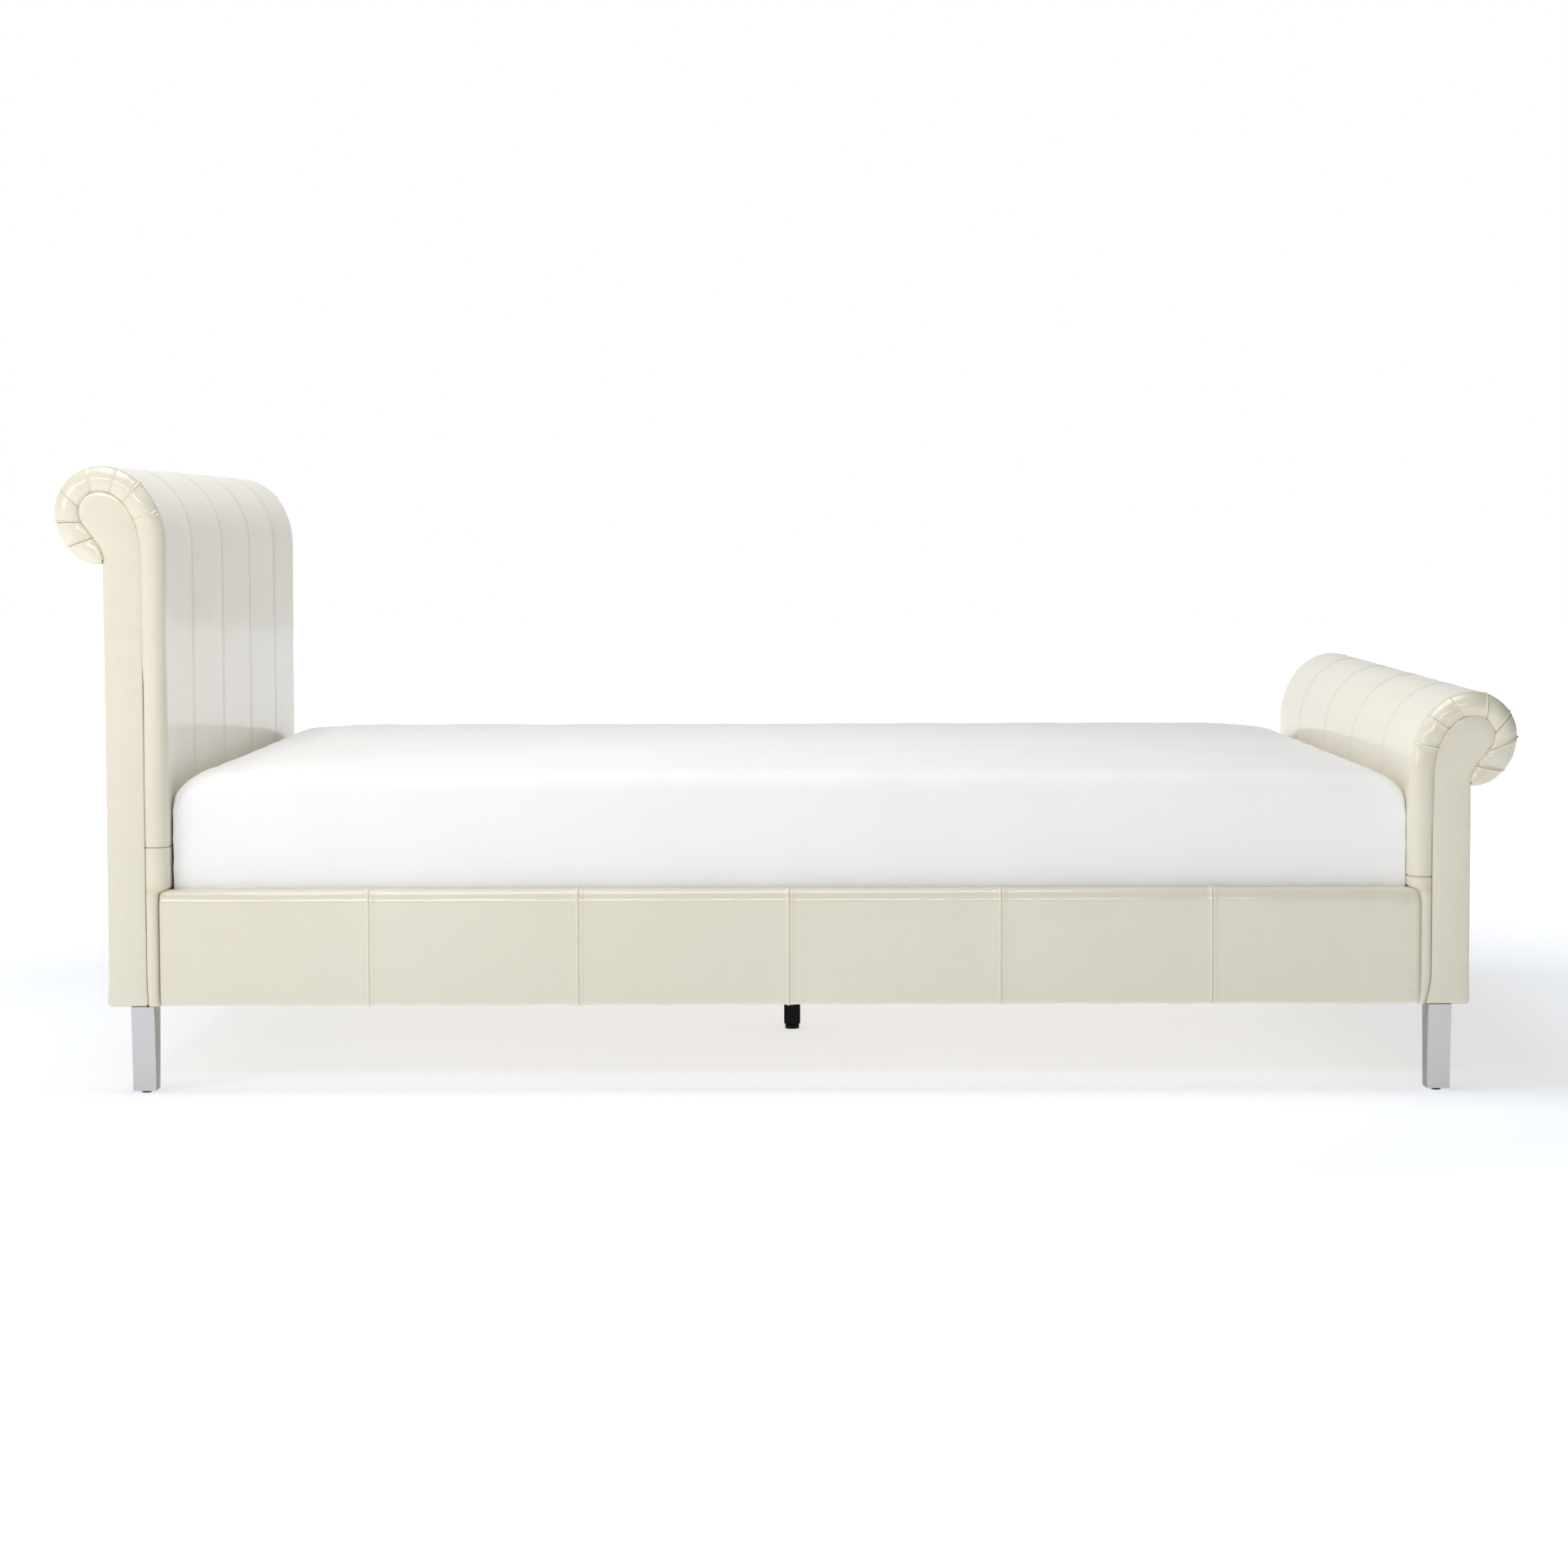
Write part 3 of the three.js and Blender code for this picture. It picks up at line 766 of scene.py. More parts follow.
def plain_cover(end, run, outline, inners, waves, push=lambda w: 0):
    """A cover's surface before its folds, with the relief and painted shade that every cover has.

    run and outline place its rows, inners holds the facing's line at -w and +w, waves are
    (wavelength and height in mm, seed), and push is how far it gives way at each w."""
    w = panel_columns(end.half - BAND_ROUND - 1 * MM)
    left, left_past = band(outline, inners[0], end.half, -1)
    right, right_past = band(outline, inners[1], end.half, 1)
    main = np.zeros((len(run), len(w), 3))
    main[..., 0] = outline[:, :1] - push(w)
    main[..., 1] = w
    main[..., 2] = outline[:, 1:]
    grid = np.concatenate([left[:, ::-1], main, right], 1)
    past = np.concatenate([left_past[:, ::-1], np.zeros(main.shape[:2]), right_past], 1)

    edge = np.minimum(run - run[0], run[-1] - run)[:, None]
    last = past.max(axis=1, keepdims=True)
    height = np.zeros_like(past) - rolled(edge, TUCK)
    # Painted shade: darker along the tucked edges, in the crevice beside the facing and in the seam
    # grooves.
    crevice = 0.3 * bell(edge, 1.2 * MM) + 0.5 * smooth(past, last - 2 * MM, last)
    relief, painted_shade = panels_relief(end, w, outline[:, 1])
    first = left.shape[1]
    height[:, first:-first] += relief
    crevice[:, first:-first] += painted_shade
    for wavelength, size, seed in waves:
        swell = undulation(run[:, None], grid[..., 1], wavelength * MM, seed)
        height += size * MM * swell * smooth(edge, 0, 20 * MM)
    return SimpleNamespace(
        grid=grid, normals=front_normals(grid), past=past, last=last, height=height,
        crevice=crevice, w=w, first=first,
    )


def close_cover(end, name, grid, behind, crevice, lines):
    """Closes a cover's grid with the rows behind it, and makes the piece and its stitches."""
    loops = np.concatenate([behind[0][:, None], grid, behind[1][:, None]], 1)
    mesh = new_mesh(name, *closed_loft(place(end, loops)))
    shade = np.pad(np.clip(crevice, 0, 1), ((0, 0), (1, 1)), mode="edge")
    stand_in(name, mesh, LEATHER, crevice=shade)
    stitches(name, [(place(end, line), place(end, normals)) for line, normals in lines])


def stitch_columns(w):
    """Which columns carry a row of stitches."""
    wanted = np.concatenate([PANEL_SEAMS - STITCH_OFFSET, PANEL_SEAMS + STITCH_OFFSET])
    return [int(np.argmin(np.abs(w - at))) for at in wanted]


def finish_cover(end, name, cover, inners, slide=0):
    grid = cover.grid + cover.normals * cover.height[..., None] + slide
    behind = [
        np.stack([inner[:, 0], np.full(len(inner), w_sign * (end.half - HIDDEN)), inner[:, 1]], -1)
        for w_sign, inner in zip((-1, 1), inners)
    ]
    normals = front_normals(grid)
    columns = [cover.first + column for column in stitch_columns(cover.w)]
    lines = [(grid[3:-3, c], normals[3:-3, c]) for c in columns]
    close_cover(end, name, grid, behind, cover.crevice, lines)


def front_cover(end):
    """Leather and foam up the front and over the roll, pleated round both ends."""
    outer = outer_path(end)
    inner = Path(end, np.concatenate([[[end.seam, end.cover_seam]], scroll_points(end)]))
    folds = {
        w_sign: [
            (outer.at_angle(a), inner.at_angle(b), *(np.array(sizes) * MM))
            for a, b, *sizes in PLEATS[(end.name, "left" if w_sign * end.sign < 0 else "right")]
        ] for w_sign in (-1, 1)
    }
    roll_start, shoulder = outer.at_angle(ROLL_START), outer.at_angle(SHOULDER)
    s = merged(
        0.22 * MM,
        np.arange(9 * MM, roll_start, 9 * MM),
        np.arange(roll_start, outer.length - 9 * MM, 3.2 * MM),
        EDGE_ROWS, outer.length - EDGE_ROWS,
        *[fold[0] + FOLD_ROWS for w_sign in folds for fold in folds[w_sign]],
    )
    s = np.clip(s, 0, outer.length)
    inners = []
    for w_sign in (-1, 1):
        mine = sorted(fold[:2] for fold in folds[w_sign])
        anchors = np.array([(0, 0), (shoulder, shoulder), *mine, (outer.length, inner.length)])
        inners.append(inner.at(np.interp(s, *anchors.T)))

    cover = plain_cover(end, s, outer.at(s), inners, [(260, 0.7, 3), (80, 0.15, 4)])
    first, past = cover.first, cover.past
    on_roll = smooth(s, shoulder, shoulder + 60 * MM)[:, None]
    lean = np.zeros_like(past)
    for w_sign in (-1, 1):
        mine = slice(first) if w_sign < 0 else slice(-first, None)
        along = np.full_like(past, -9)  # how far past the band's rounding; -9 m is "never"
        along[:, mine] = past[:, mine]
        along[:, first:-first] = w_sign * cover.w - (end.half - BAND_ROUND)
        nearest = 1.0
        for start, _, lip, ditch, reach, loop in folds[w_sign]:
            x = (s - start)[:, None]
            strength = smooth(along, -reach, 12 * MM - reach)
            up, over = pleat_offsets(x, lip, ditch)
            cover.height += strength * up + pleat_loop(x, along + reach - 5 * MM, loop)
            lean += strength * over
            # Painted shade in the crevice of each deep fold.
            painted_shade = 0.8 * smooth(ditch, 0.5 * MM, 3 * MM)
            cover.crevice += strength * painted_shade * bell(x - 0.9 * MM, 1.1 * MM)
            nearest = np.minimum(nearest, np.abs(x))
        # The leather stands fuller between folds
        full = (1 - np.exp(-nearest / (16 * MM))) * smooth(along, 0, 14 * MM)
        cover.height += 2.5 * MM * full * on_roll
    deep = smooth(past, BAND_ROUND * 1.75, BAND_ROUND * 1.57 + 19 * MM)
    pucker = undulation(s[:, None], past, 11 * MM, 21)
    cover.height += deep * (1 - deep * 0.6) * pucker * 0.8 * MM
    # Painted shade and painted bounce light: a broad yellowish darkening of the band beside the
    # facing, most on the roll.
    beside_facing = smooth(past, cover.last - 17 * MM, cover.last)
    cover.crevice += 0.35 * beside_facing * (0.15 + on_roll)
    slide = unit(np.gradient(cover.grid, axis=0)) * lean[..., None]
    finish_cover(end, f"{end.name}_front_cover", cover, inners, slide)


def facing_flare(end, z, edge=0):
    """How far a facing widens near its foot: edge 0 is the front one, 1 the back one."""
    return end.flare[edge] * (1 - smooth(z, end.underside - 12 * MM, end.underside + 48 * MM))


def lower_cover(end):
    """The cover below the cross seam, pressed in where the side rails meet it."""
    top = end.cover_seam - GAP
    press_z = end.rail_top + 3 * MM
    z = merged(
        0.3 * MM, np.arange(end.underside, top, 8 * MM), end.underside + EDGE_ROWS,
        top - EDGE_ROWS, press_z + np.arange(-12, 12.1, 1.5) * MM,
    )
    pressed = 1 - smooth(z, press_z - 5 * MM, press_z + 5 * MM)

    def push(w):
        """The padding stands out again between the rails."""
        between = 1 - smooth(np.abs(w), end.rail_inner - 22 * MM, end.rail_inner - 2 * MM)
        return RAIL_PRESS * pressed[:, None] * between

    outline = np.stack([end.front + RAIL_PRESS * pressed, z], -1)
    inners = [np.stack([end.seam - facing_flare(end, z), z], -1)] * 2
    cover = plain_cover(end, z, outline, inners, [(160, 0.6, 5)], push)
    # Painted shade where the rails press into the cover.
    beside_rail = smooth(np.abs(cover.grid[..., 1]), 740 * MM, 770 * MM)
    cover.crevice += 0.3 * bell(z - press_z, 8 * MM)[:, None] * beside_rail
    finish_cover(end, f"{end.name}_lower_cover", cover, inners)


def back_cover(end):
    """Flat leather down the back, in panels, with a sewn hem."""
    top, half = end.back_top, end.back_half
    hem = end.underside + 14 * MM
    edge_rows = np.array([0, 0.3, 0.7, 1.2, 2, 3, 5, 8]) * MM
    z = merged(
        0.25 * MM, np.arange(end.underside, top, 14 * MM), end.underside + edge_rows,
        top - edge_rows, hem + np.array([-4, -2.4, -1.4, -0.7, 0, 0.7, 1.4, 2.4, 4]) * MM,
    )
    side = half - np.array([*edge_rows, 12 * MM])
    w = merged(0.25 * MM, panel_columns(half - 16 * MM), side, -side)
    zz, ww = np.meshgrid(z, w, indexing="ij")
    edge = np.minimum(np.minimum(zz - end.underside, top - zz), half - np.abs(ww))
    relief, painted_shade = panels_relief(end, w, z)
    height = relief - rolled(edge, 2.5 * MM) + 1.2 * MM * smooth(edge, 0, 60 * MM)
    height -= 0.8 * MM * bell(zz - hem, 0.9 * MM)
    height += undulation(zz, ww, 260 * MM, 8) * 0.9 * MM * smooth(edge, 0, 30 * MM)
    grid = np.stack([end.back + height, ww, zz], -1)
    # Painted shade in the seam grooves, along the edges and in the hem's fold.
    crevice = painted_shade + 0.5 * bell(edge, 1.2 * MM) + 0.2 * bell(zz - hem, 0.9 * MM)
    flat = np.full(len(z), end.back - 3 * MM)
    behind = [np.stack([flat, np.full(len(z), w_sign * half), z], -1) for w_sign in (-1, 1)]
    outward = np.broadcast_to([1.0, 0, 0], grid.shape)
    lines = [(grid[3:-3, c], outward[3:-3, c]) for c in stitch_columns(w)]
    hem_row = int(np.argmin(np.abs(z - hem)))
    lines.append((grid[hem_row, 4:-4], outward[hem_row, 4:-4]))
    close_cover(end, f"{end.name}_back_cover", grid, behind, crevice, lines)


def facing_outline(end):
    """Closed outline of a side facing, in u and z, widening a little towards its foot."""
    corner, toe = 8 * MM, 5 * MM
    foot = end.underside
    front_z = np.arange(foot + toe, end.shoulder, 4 * MM)
    front = np.stack([end.seam + GAP - facing_flare(end, front_z), front_z], -1)
    back_z = np.arange(end.neck_z - 3 * MM, foot + corner, -4 * MM)
    back = np.stack([end.back - GAP + facing_flare(end, back_z, 1), back_z], -1)
    u0, u1 = front[0, 0], back[-1, 0]
    foot_u = np.arange(u1 - corner - 4 * MM, u0 + 6 * MM, -4 * MM)
    scroll = Path(end, scroll_points(end, GAP))
    return np.concatenate([
        front,
        scroll.at(np.arange(0, scroll.length, 3 * MM)),
        back,
        arc(u1 - corner, foot + corner, corner, corner, 0, -90, 15),
        np.stack([foot_u, np.full(len(foot_u), foot)], -1),
        arc(u0 + toe, foot + toe, toe, toe, 270, 190, 20),
    ])


def ringed_outline(outline, insets, spacing):
    """Points in rings along an outline's edge and in a lattice inside, and their triangles."""
    tangent = np.roll(outline, -1, axis=0) - np.roll(outline, 1, axis=0)
    inward = unit(np.stack([tangent[:, 1], -tangent[:, 0]], -1))
    if not inside_outline(outline[:1] + inward[:1] * insets[1], outline)[0]:
        inward = -inward
    rings = [outline]
    for inset in insets[1:]:
        ring = outline + inward * inset
        far_enough = distance_to_outline(ring, outline) > 0.96 * inset
        rings.append(ring[far_enough & inside_outline(ring, outline)])
    inside = lattice(outline, spacing, insets[-1] + spacing * 0.6, staggered=True)
    return triangulated(np.concatenate([*rings, inside]), len(outline))


def side_facing(end, side, w_sign):
    """A padded, slightly domed panel with the scroll's outline."""
    outline = facing_outline(end)
    rim = len(outline)
    insets = np.array([0, 0.5, 1.2, 2.2, 3.6, 5.4, 7.6, 10.5, 14, 18]) * MM
    points, faces = ringed_outline(outline, insets, 8 * MM)
    u, z = points.T
    edge = distance_to_outline(points, outline)
    height = -rolled(edge, 2.4 * MM) - 3.0 * MM * np.exp(-edge / (13 * MM))
    height += undulation(u, z, 60 * MM, 12) * 0.5 * MM * smooth(edge, 0, 20 * MM)
    near_edge = smooth(edge, 0, 4 * MM) * (1 - smooth(edge, 6 * MM, 16 * MM))
    height += undulation(u, z, 14 * MM, 13) * 0.5 * MM * near_edge
    front = np.stack([u, w_sign * (end.half + height), z], -1)
    behind = np.stack([u, np.full(len(u), w_sign * end.facing_inner), z], -1)
    count = len(points)
    walls = [[k, (k + 1) % rim, (k + 1) % rim + count, k + count] for k in range(rim)]
    solid = faces + [[v + count for v in reversed(f)] for f in faces] + walls
    # Painted shade: a dark line round the facing's edge, where it meets the cover.
    shade = np.concatenate([0.7 * (1 - smooth(edge, 0, 1.3 * MM)), np.zeros(count)])
    name = f"{end.name}_side_facing_{side}"
    mesh = new_mesh(name, place(end, np.concatenate([front, behind])), solid)
    stand_in(name, mesh, LEATHER, crevice=shade)


# ---- Legs ----------------------------------------------------------------------------

def hard_piece(name, loops, material, ease=0.0):
    """A solid through closed loops, with its upright edges and its foot's edges eased."""
    points, faces = closed_loft(np.array(loops))
    bm = bmesh.new()
    verts = [bm.verts.new(point) for point in points]
    for face in faces:
        bm.faces.new([verts[k] for k in face])
    if ease:
        floor = points[0, 2]
        upright = [e for e in bm.edges if abs(e.verts[0].co.z - e.verts[1].co.z) > 1 * MM]
        at_foot = [e for e in bm.edges if all(abs(v.co.z - floor) < 0.01 * MM for v in e.verts)]
        bmesh.ops.bevel(
            bm, geom=upright + at_foot, offset=ease, segments=4, profile=0.5, affect="EDGES",
        )
    mesh = bpy.data.meshes.new(name)
    bm.to_mesh(mesh)
    bm.free()
    stand_in(name, mesh, material)
    mesh.set_sharp_from_angle(angle=math.radians(35))


def leg(name):
    """A tapered metal leg with eased edges."""
    low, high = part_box(name)
    middle, size = (low + high) / 2, high - low
    foot_depth, levels = 39 * MM, 9
    hard_piece(name, [
        [
            (middle.x + kx * size.x / 2, middle.y + ky * depth / 2, z)
            for kx, ky in ((-1, -1), (1, -1), (1, 1), (-1, 1))
        ] for z, depth in zip(
            np.linspace(low.z, high.z, levels), np.linspace(foot_depth, size.y, levels),
        )
    ], METAL, 1.2 * MM)


def glide(name):
    """A felt-thin nylon glide with a soft lower edge."""
    low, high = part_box(name)
    middle = (low + high) / 2
    r = (high.x - low.x) / 2
    ease = 1.2 * MM
    profile = [
        (r - ease + ease * math.sin(a), low.z + ease - ease * math.cos(a))
        for a in np.radians([0, 22, 45, 67, 90])
    ]
    profile += [(r, high.z - 0.8 * MM), (r - 0.5 * MM, high.z - 0.2 * MM), (r - 1 * MM, high.z)]
    turn = np.linspace(0, 2 * math.pi, 40, endpoint=False)
    hard_piece(name, [
        [(middle.x + radius * math.cos(t), middle.y + radius * math.sin(t), z) for t in turn]
        for radius, z in profile
    ], PLASTIC)


# ---- Side rails ----------------------------------------------------------------------

RAIL_SEAMS = np.array([-688, -345, 0.6, 348, 694]) * MM
RAIL_STITCHES = (-7.6 * MM, 8.9 * MM)  # rows before and after each seam
RAIL_FULL = (1.5 * MM, 4.5 * MM)  # how far the padding stands out below and above
RAIL_COUNTS = (6, 56, 8, 30)  # points along the bottom, the face, the top and the inside
# The foam's outer top edge, from the face up: (degrees turned when a bend ends, its radius
# in mm, points). The second bend is nearly flat and catches the light in a line.
RAIL_SHOULDER = [(15.6, 13, 5), (18.8, 64, 4), (50, 23, 7), (90, 16, 7)]
# Creases in the leather at a rail's foot end: (distance from the end, distance from the
# outer top edge down the face, angle, length, width, height), in mm and degrees
RAIL_CREASES = [
    (9, 4, 62, 16, 2.2, 1.0), (16, -4, 40, 15, 2.4, 0.8), (6, 22, 80, 20, 2.0, 0.8),
    (20, 14, 48, 14, 2.6, -0.7), (11, 44, 84, 18, 2.4, 0.6), (30, 2, 18, 20, 3.0, 0.6),
    (5, 74, 76, 22, 2.6, 0.5), (17, 150, -35, 24, 3.4, 0.8), (8, 166, -60, 16, 2.6, -0.7),
]


def box_loop(y0, y1, z0, z1, bends):
    """A rail's section, with y0 on the inner side, from its inner bottom corner on."""
    corners = [(y0, z0, 180), (y1, z0, 270), (y1, z1, 0), (y0, z1, 90)]
    return bent_loop(corners, bends, RAIL_COUNTS)


def rail_seam_height(x):
    """A lapped seam on a rail: one edge lies over the other and is sewn down both sides."""
    lap = 1.3 * bell(x, 1.5 * MM)
    step = -0.5 * bell(x - 2.6 * MM, 0.8 * MM)
    under = 0.6 * (smooth(x, -12 * MM, -8.5 * MM) - smooth(x, 9.5 * MM, 13 * MM))
    rows = sum(-0.5 * bell(x - row, 1.1 * MM) for row in RAIL_STITCHES)
    return (lap + step + under + rows) * MM


def crease_height(from_end, down):
    total = np.zeros(np.broadcast(from_end, down).shape)
    for near, drop, angle, length, width, height in RAIL_CREASES:
        a = math.radians(angle)
        dx, dz = from_end - near * MM, down - drop * MM
        along = dx * math.cos(a) + dz * math.sin(a)
        across = -dx * math.sin(a) + dz * math.cos(a)
        total += height * MM * bell(along, length * MM / 2) * bell(across, width * MM)
    return total


def rail_columns(low, high):
    """Places along a rail, close together at its seams and ends."""
    near = np.array([0, 0.5, 1.0, 1.6, 2.2, 2.8, 3.6, 5, 6.4]) * MM
    beside = np.concatenate([-near, near, [*RAIL_STITCHES, -11 * MM, 12 * MM]])
    ends = np.array([
        0, 0.3, 0.8, 1.5, 2.4, 3.5, 4.8, 6.4, 8.2, 10.5, 13, 16, 19, 22, 26, 30, 36, 43,
    ]) * MM
    return merged(
        0.25 * MM, np.arange(low.x + 50 * MM, high.x - 50 * MM, 14 * MM),
        RAIL_SEAMS[:, None] + beside, low.x + ends, high.x - ends,
    )


def rail_cover(side, y_sign):
    """A board wrapped in foam and leather, in six panels, open round its core."""
    node = f"side_rail_cover_{side}"
    low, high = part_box(node)
    core_low, core_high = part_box(f"side_rail_core_{side}")
    y_in, y_out = sorted((abs(low.y), abs(high.y)))
    core_in, core_out = sorted((abs(core_low.y), abs(core_high.y)))
    x = rail_columns(low, high)
    head_round, foot_round = rolled(x - low.x, 5 * MM), rolled(high.x - x, 9 * MM)
    outer_loops, inner_loops = [], []
    for inset, from_foot in zip(np.where(x < 0, head_round, foot_round), high.x - x):
        soft = 1 + 0.1 * bell(from_foot, 16 * MM)
        shoulder = [(angle, radius * MM * soft, count) for angle, radius, count in RAIL_SHOULDER]
        bends = [[(90, 5 * MM, 5)], [(90, 6 * MM, 7)], shoulder, [(90, 10 * MM, 9)]]
        outer_loops.append(box_loop(
            y_in + inset, y_out - inset, low.z + inset - RAIL_FULL[0],
            high.z - inset + RAIL_FULL[1], bends,
        ))
        sharp = [[(90, 1 * MM, sum(count for _, _, count in bend))] for bend in bends]
        inner_loops.append(box_loop(
            core_in - GAP, core_out + GAP, core_low.z - GAP, core_high.z + GAP, sharp,
        )[0])
    loops, normals = (np.array(each) for each in zip(*outer_loops))
    inner = np.array(inner_loops)
    y, z = loops[..., 0], loops[..., 1]
    xx = np.broadcast_to(x[:, None], y.shape)

    outer_face = smooth(normals[..., 0], 0.2, 1.0)
    clear_inside = 1 - smooth(-normals[..., 0], 0.3, 0.9)
    edge = np.minimum(xx - low.x, high.x - xx)
    ends_clear = smooth(edge, 0, 30 * MM)
    to_seam = xx - RAIL_SEAMS[np.argmin(np.abs(xx[..., None] - RAIL_SEAMS), axis=-1)]
    belly = 1 - ((z - (low.z + high.z) / 2) / ((high.z - low.z) / 2)) ** 2
    face = 1.3 * smooth(np.abs(to_seam), 12 * MM, 110 * MM) + 0.8 * belly
    face += undulation(xx, z, 170 * MM, 31 + (y_sign > 0)) * ends_clear
    face += 1.8 * bell(high.x - xx - 60 * MM, 60 * MM) * bell(z - low.z - 30 * MM, 34 * MM)
    height = face * MM * outer_face
    around = rail_seam_height(to_seam) + crease_height(high.x - xx, high.z - z + y_out - y)
    around += undulation(xx, z, 48 * MM, 33) * 0.25 * MM * ends_clear
    height += around * clear_inside
    hem = smooth(-normals[..., 1], 0.3, 1.0)
    height += undulation(xx, np.zeros_like(xx), 95 * MM, 35) * 1.4 * MM * hem

    outer = np.stack([
        xx, y_sign * (y + normals[..., 0] * height), z + normals[..., 1] * height,
    ], -1)
    inner_x = np.broadcast_to(x[:, None], inner.shape[:2])
    inner = np.stack([inner_x, y_sign * inner[..., 0], inner[..., 1]], -1)
    # Painted shade beside each seam's lap and at both ends of the rail, where it meets its
    # neighbours.
    shade = 0.3 * bell(to_seam - 2.6 * MM, 0.9 * MM) * clear_inside + 0.9 * bell(edge, 2.5 * MM)
    shade = np.concatenate([np.clip(shade, 0, 1).ravel(), np.zeros(inner_x.size)])
    mesh = new_mesh(node, *sleeve(outer, inner))
    stand_in(node, mesh, LEATHER, crevice=shade)

    outward = np.stack([np.zeros_like(xx), y_sign * normals[..., 0], normals[..., 1]], -1)
    # A rail is sewn from under it, up the face and over the top
    start = int(np.argmax(normals[0, :, 0] > 0.05))
    stop = normals.shape[1] - 1 - int(np.argmax(normals[0, ::-1, 1] > 0.9))
    rows = [s + r for s in RAIL_SEAMS for r in RAIL_STITCHES] + [low.x + 5 * MM, high.x - 5 * MM]
    sewn = [int(np.argmin(np.abs(x - row))) for row in rows]
    stitches(node, [(outer[i, start:stop], outward[i, start:stop]) for i in sewn])


# ---- Mattress and fitted sheet -------------------------------------------------------

def plan_loop(x0, x1, half, corner, counts):
    """A rounded rectangle seen from above: points and outward normals.

    counts are the numbers of points along each long side, each short side and a corner."""
    along_x, along_y, round_steps = counts
    corners = [(x1, half, 0), (x0, half, 90), (x0, -half, 180), (x1, -half, 270)]
    bends = [[(90, corner, round_steps)]] * 4
    return bent_loop(corners, bends, (along_x, along_y) * 2)


def rounded_top(radius, top, steps):
    """(inset, height) round a top edge."""
    return [
        (radius * (1 - math.cos(a)), top - radius * (1 - math.sin(a)))
        for a in np.radians(np.linspace(0, 90, steps))[1:]
    ]


def sheet_profile(height, lip, bottom_round, top_round):
    """(inset, height) from the lip's inner edge under the mattress up to the top."""
    quarter = np.radians(np.linspace(0, 90, 7))
    rings = [(lip - lip * t, 0.0) for t in (0, 0.06, 0.14, 0.25, 0.4, 0.6, 0.78)]
    rings += [(bottom_round * (1 - math.sin(a)), bottom_round * (1 - math.cos(a))) for a in quarter]
    rings += [(0.0, z) for z in np.linspace(bottom_round, height - top_round, 14)[1:]]
    rings += rounded_top(top_round, height, 15)
    return rings + [(top_round + extra * MM, height) for extra in (9, 20, 34, 52, 76, 106)]


def scallops(y, pitch, drift, waviness):
    """Where the cloth is pulled in between the scallops along an end's top edge."""
    return bell(np.abs(np.sin(math.pi * (y + drift * np.sin(y * waviness)) / pitch)), 0.35)


def sheet_waves(x, y, up, flat, run, inset, low, high):
    """How far the cloth stands off its plain shape: pulls, gathers and corner creases."""
    tall = high.z - low.z
    at_foot = smooth(flat[..., 0], 0.6, 1.0)
    at_head = smooth(-flat[..., 0], 0.6, 1.0)
    at_side = smooth(np.abs(flat[..., 1]), 0.6, 1.0)
    on_edge = bell(up - tall + 12 * MM, 30 * MM) * bell(inset - 18 * MM, 40 * MM)
    pulls = -3.4 * at_foot * scallops(y, 178 * MM, 34 * MM, 11)
    pulls -= 1.2 * at_head * scallops(y, 230 * MM, 14 * MM, 9)
    pulls += 1.6 * at_side * undulation(x, 0, 130 * MM, 51)
    height = pulls * MM * on_edge
    gathers = 1 - smooth(up, 0, 120 * MM)
    height += 1.6 * MM * gathers * undulation(run, 0, 26 * MM, 52)
    to_corner = np.hypot(np.minimum(x - low.x, high.x - x), high.y - np.abs(y))
    slant = to_corner * 0.8 + up * 0.9
    creases = np.sin(2 * math.pi * slant / (46 * MM) + 2 * np.sin(run * 7))
    on_side = smooth(up, 15 * MM, 60 * MM) * (1 - smooth(up, tall - 70 * MM, tall - 10 * MM))
    height += 0.7 * MM * bell(to_corner, 230 * MM) * on_side * creases * (inset < 1 * MM)
    height += 1.5 * MM * undulation(run, up, 210 * MM, 53) * (inset < 60 * MM)
    height += 3.3 * MM * at_head * smooth(up, 5 * MM, 60 * MM) - 1.0 * MM * at_foot
    return height * (1 - 0.8 * at_foot * (1 - on_edge))


def sheet_crown(x, inset, low, high):
    """How the top stands above its CAD height: full in the middle, sagging at both ends."""
    to_end = np.minimum(x - low.x, high.x - x)
    sag = -12 * MM * np.exp(-((to_end / (85 * MM)) ** 1.5))
    return sag + 3 * MM * smooth(inset, 0, 300 * MM)


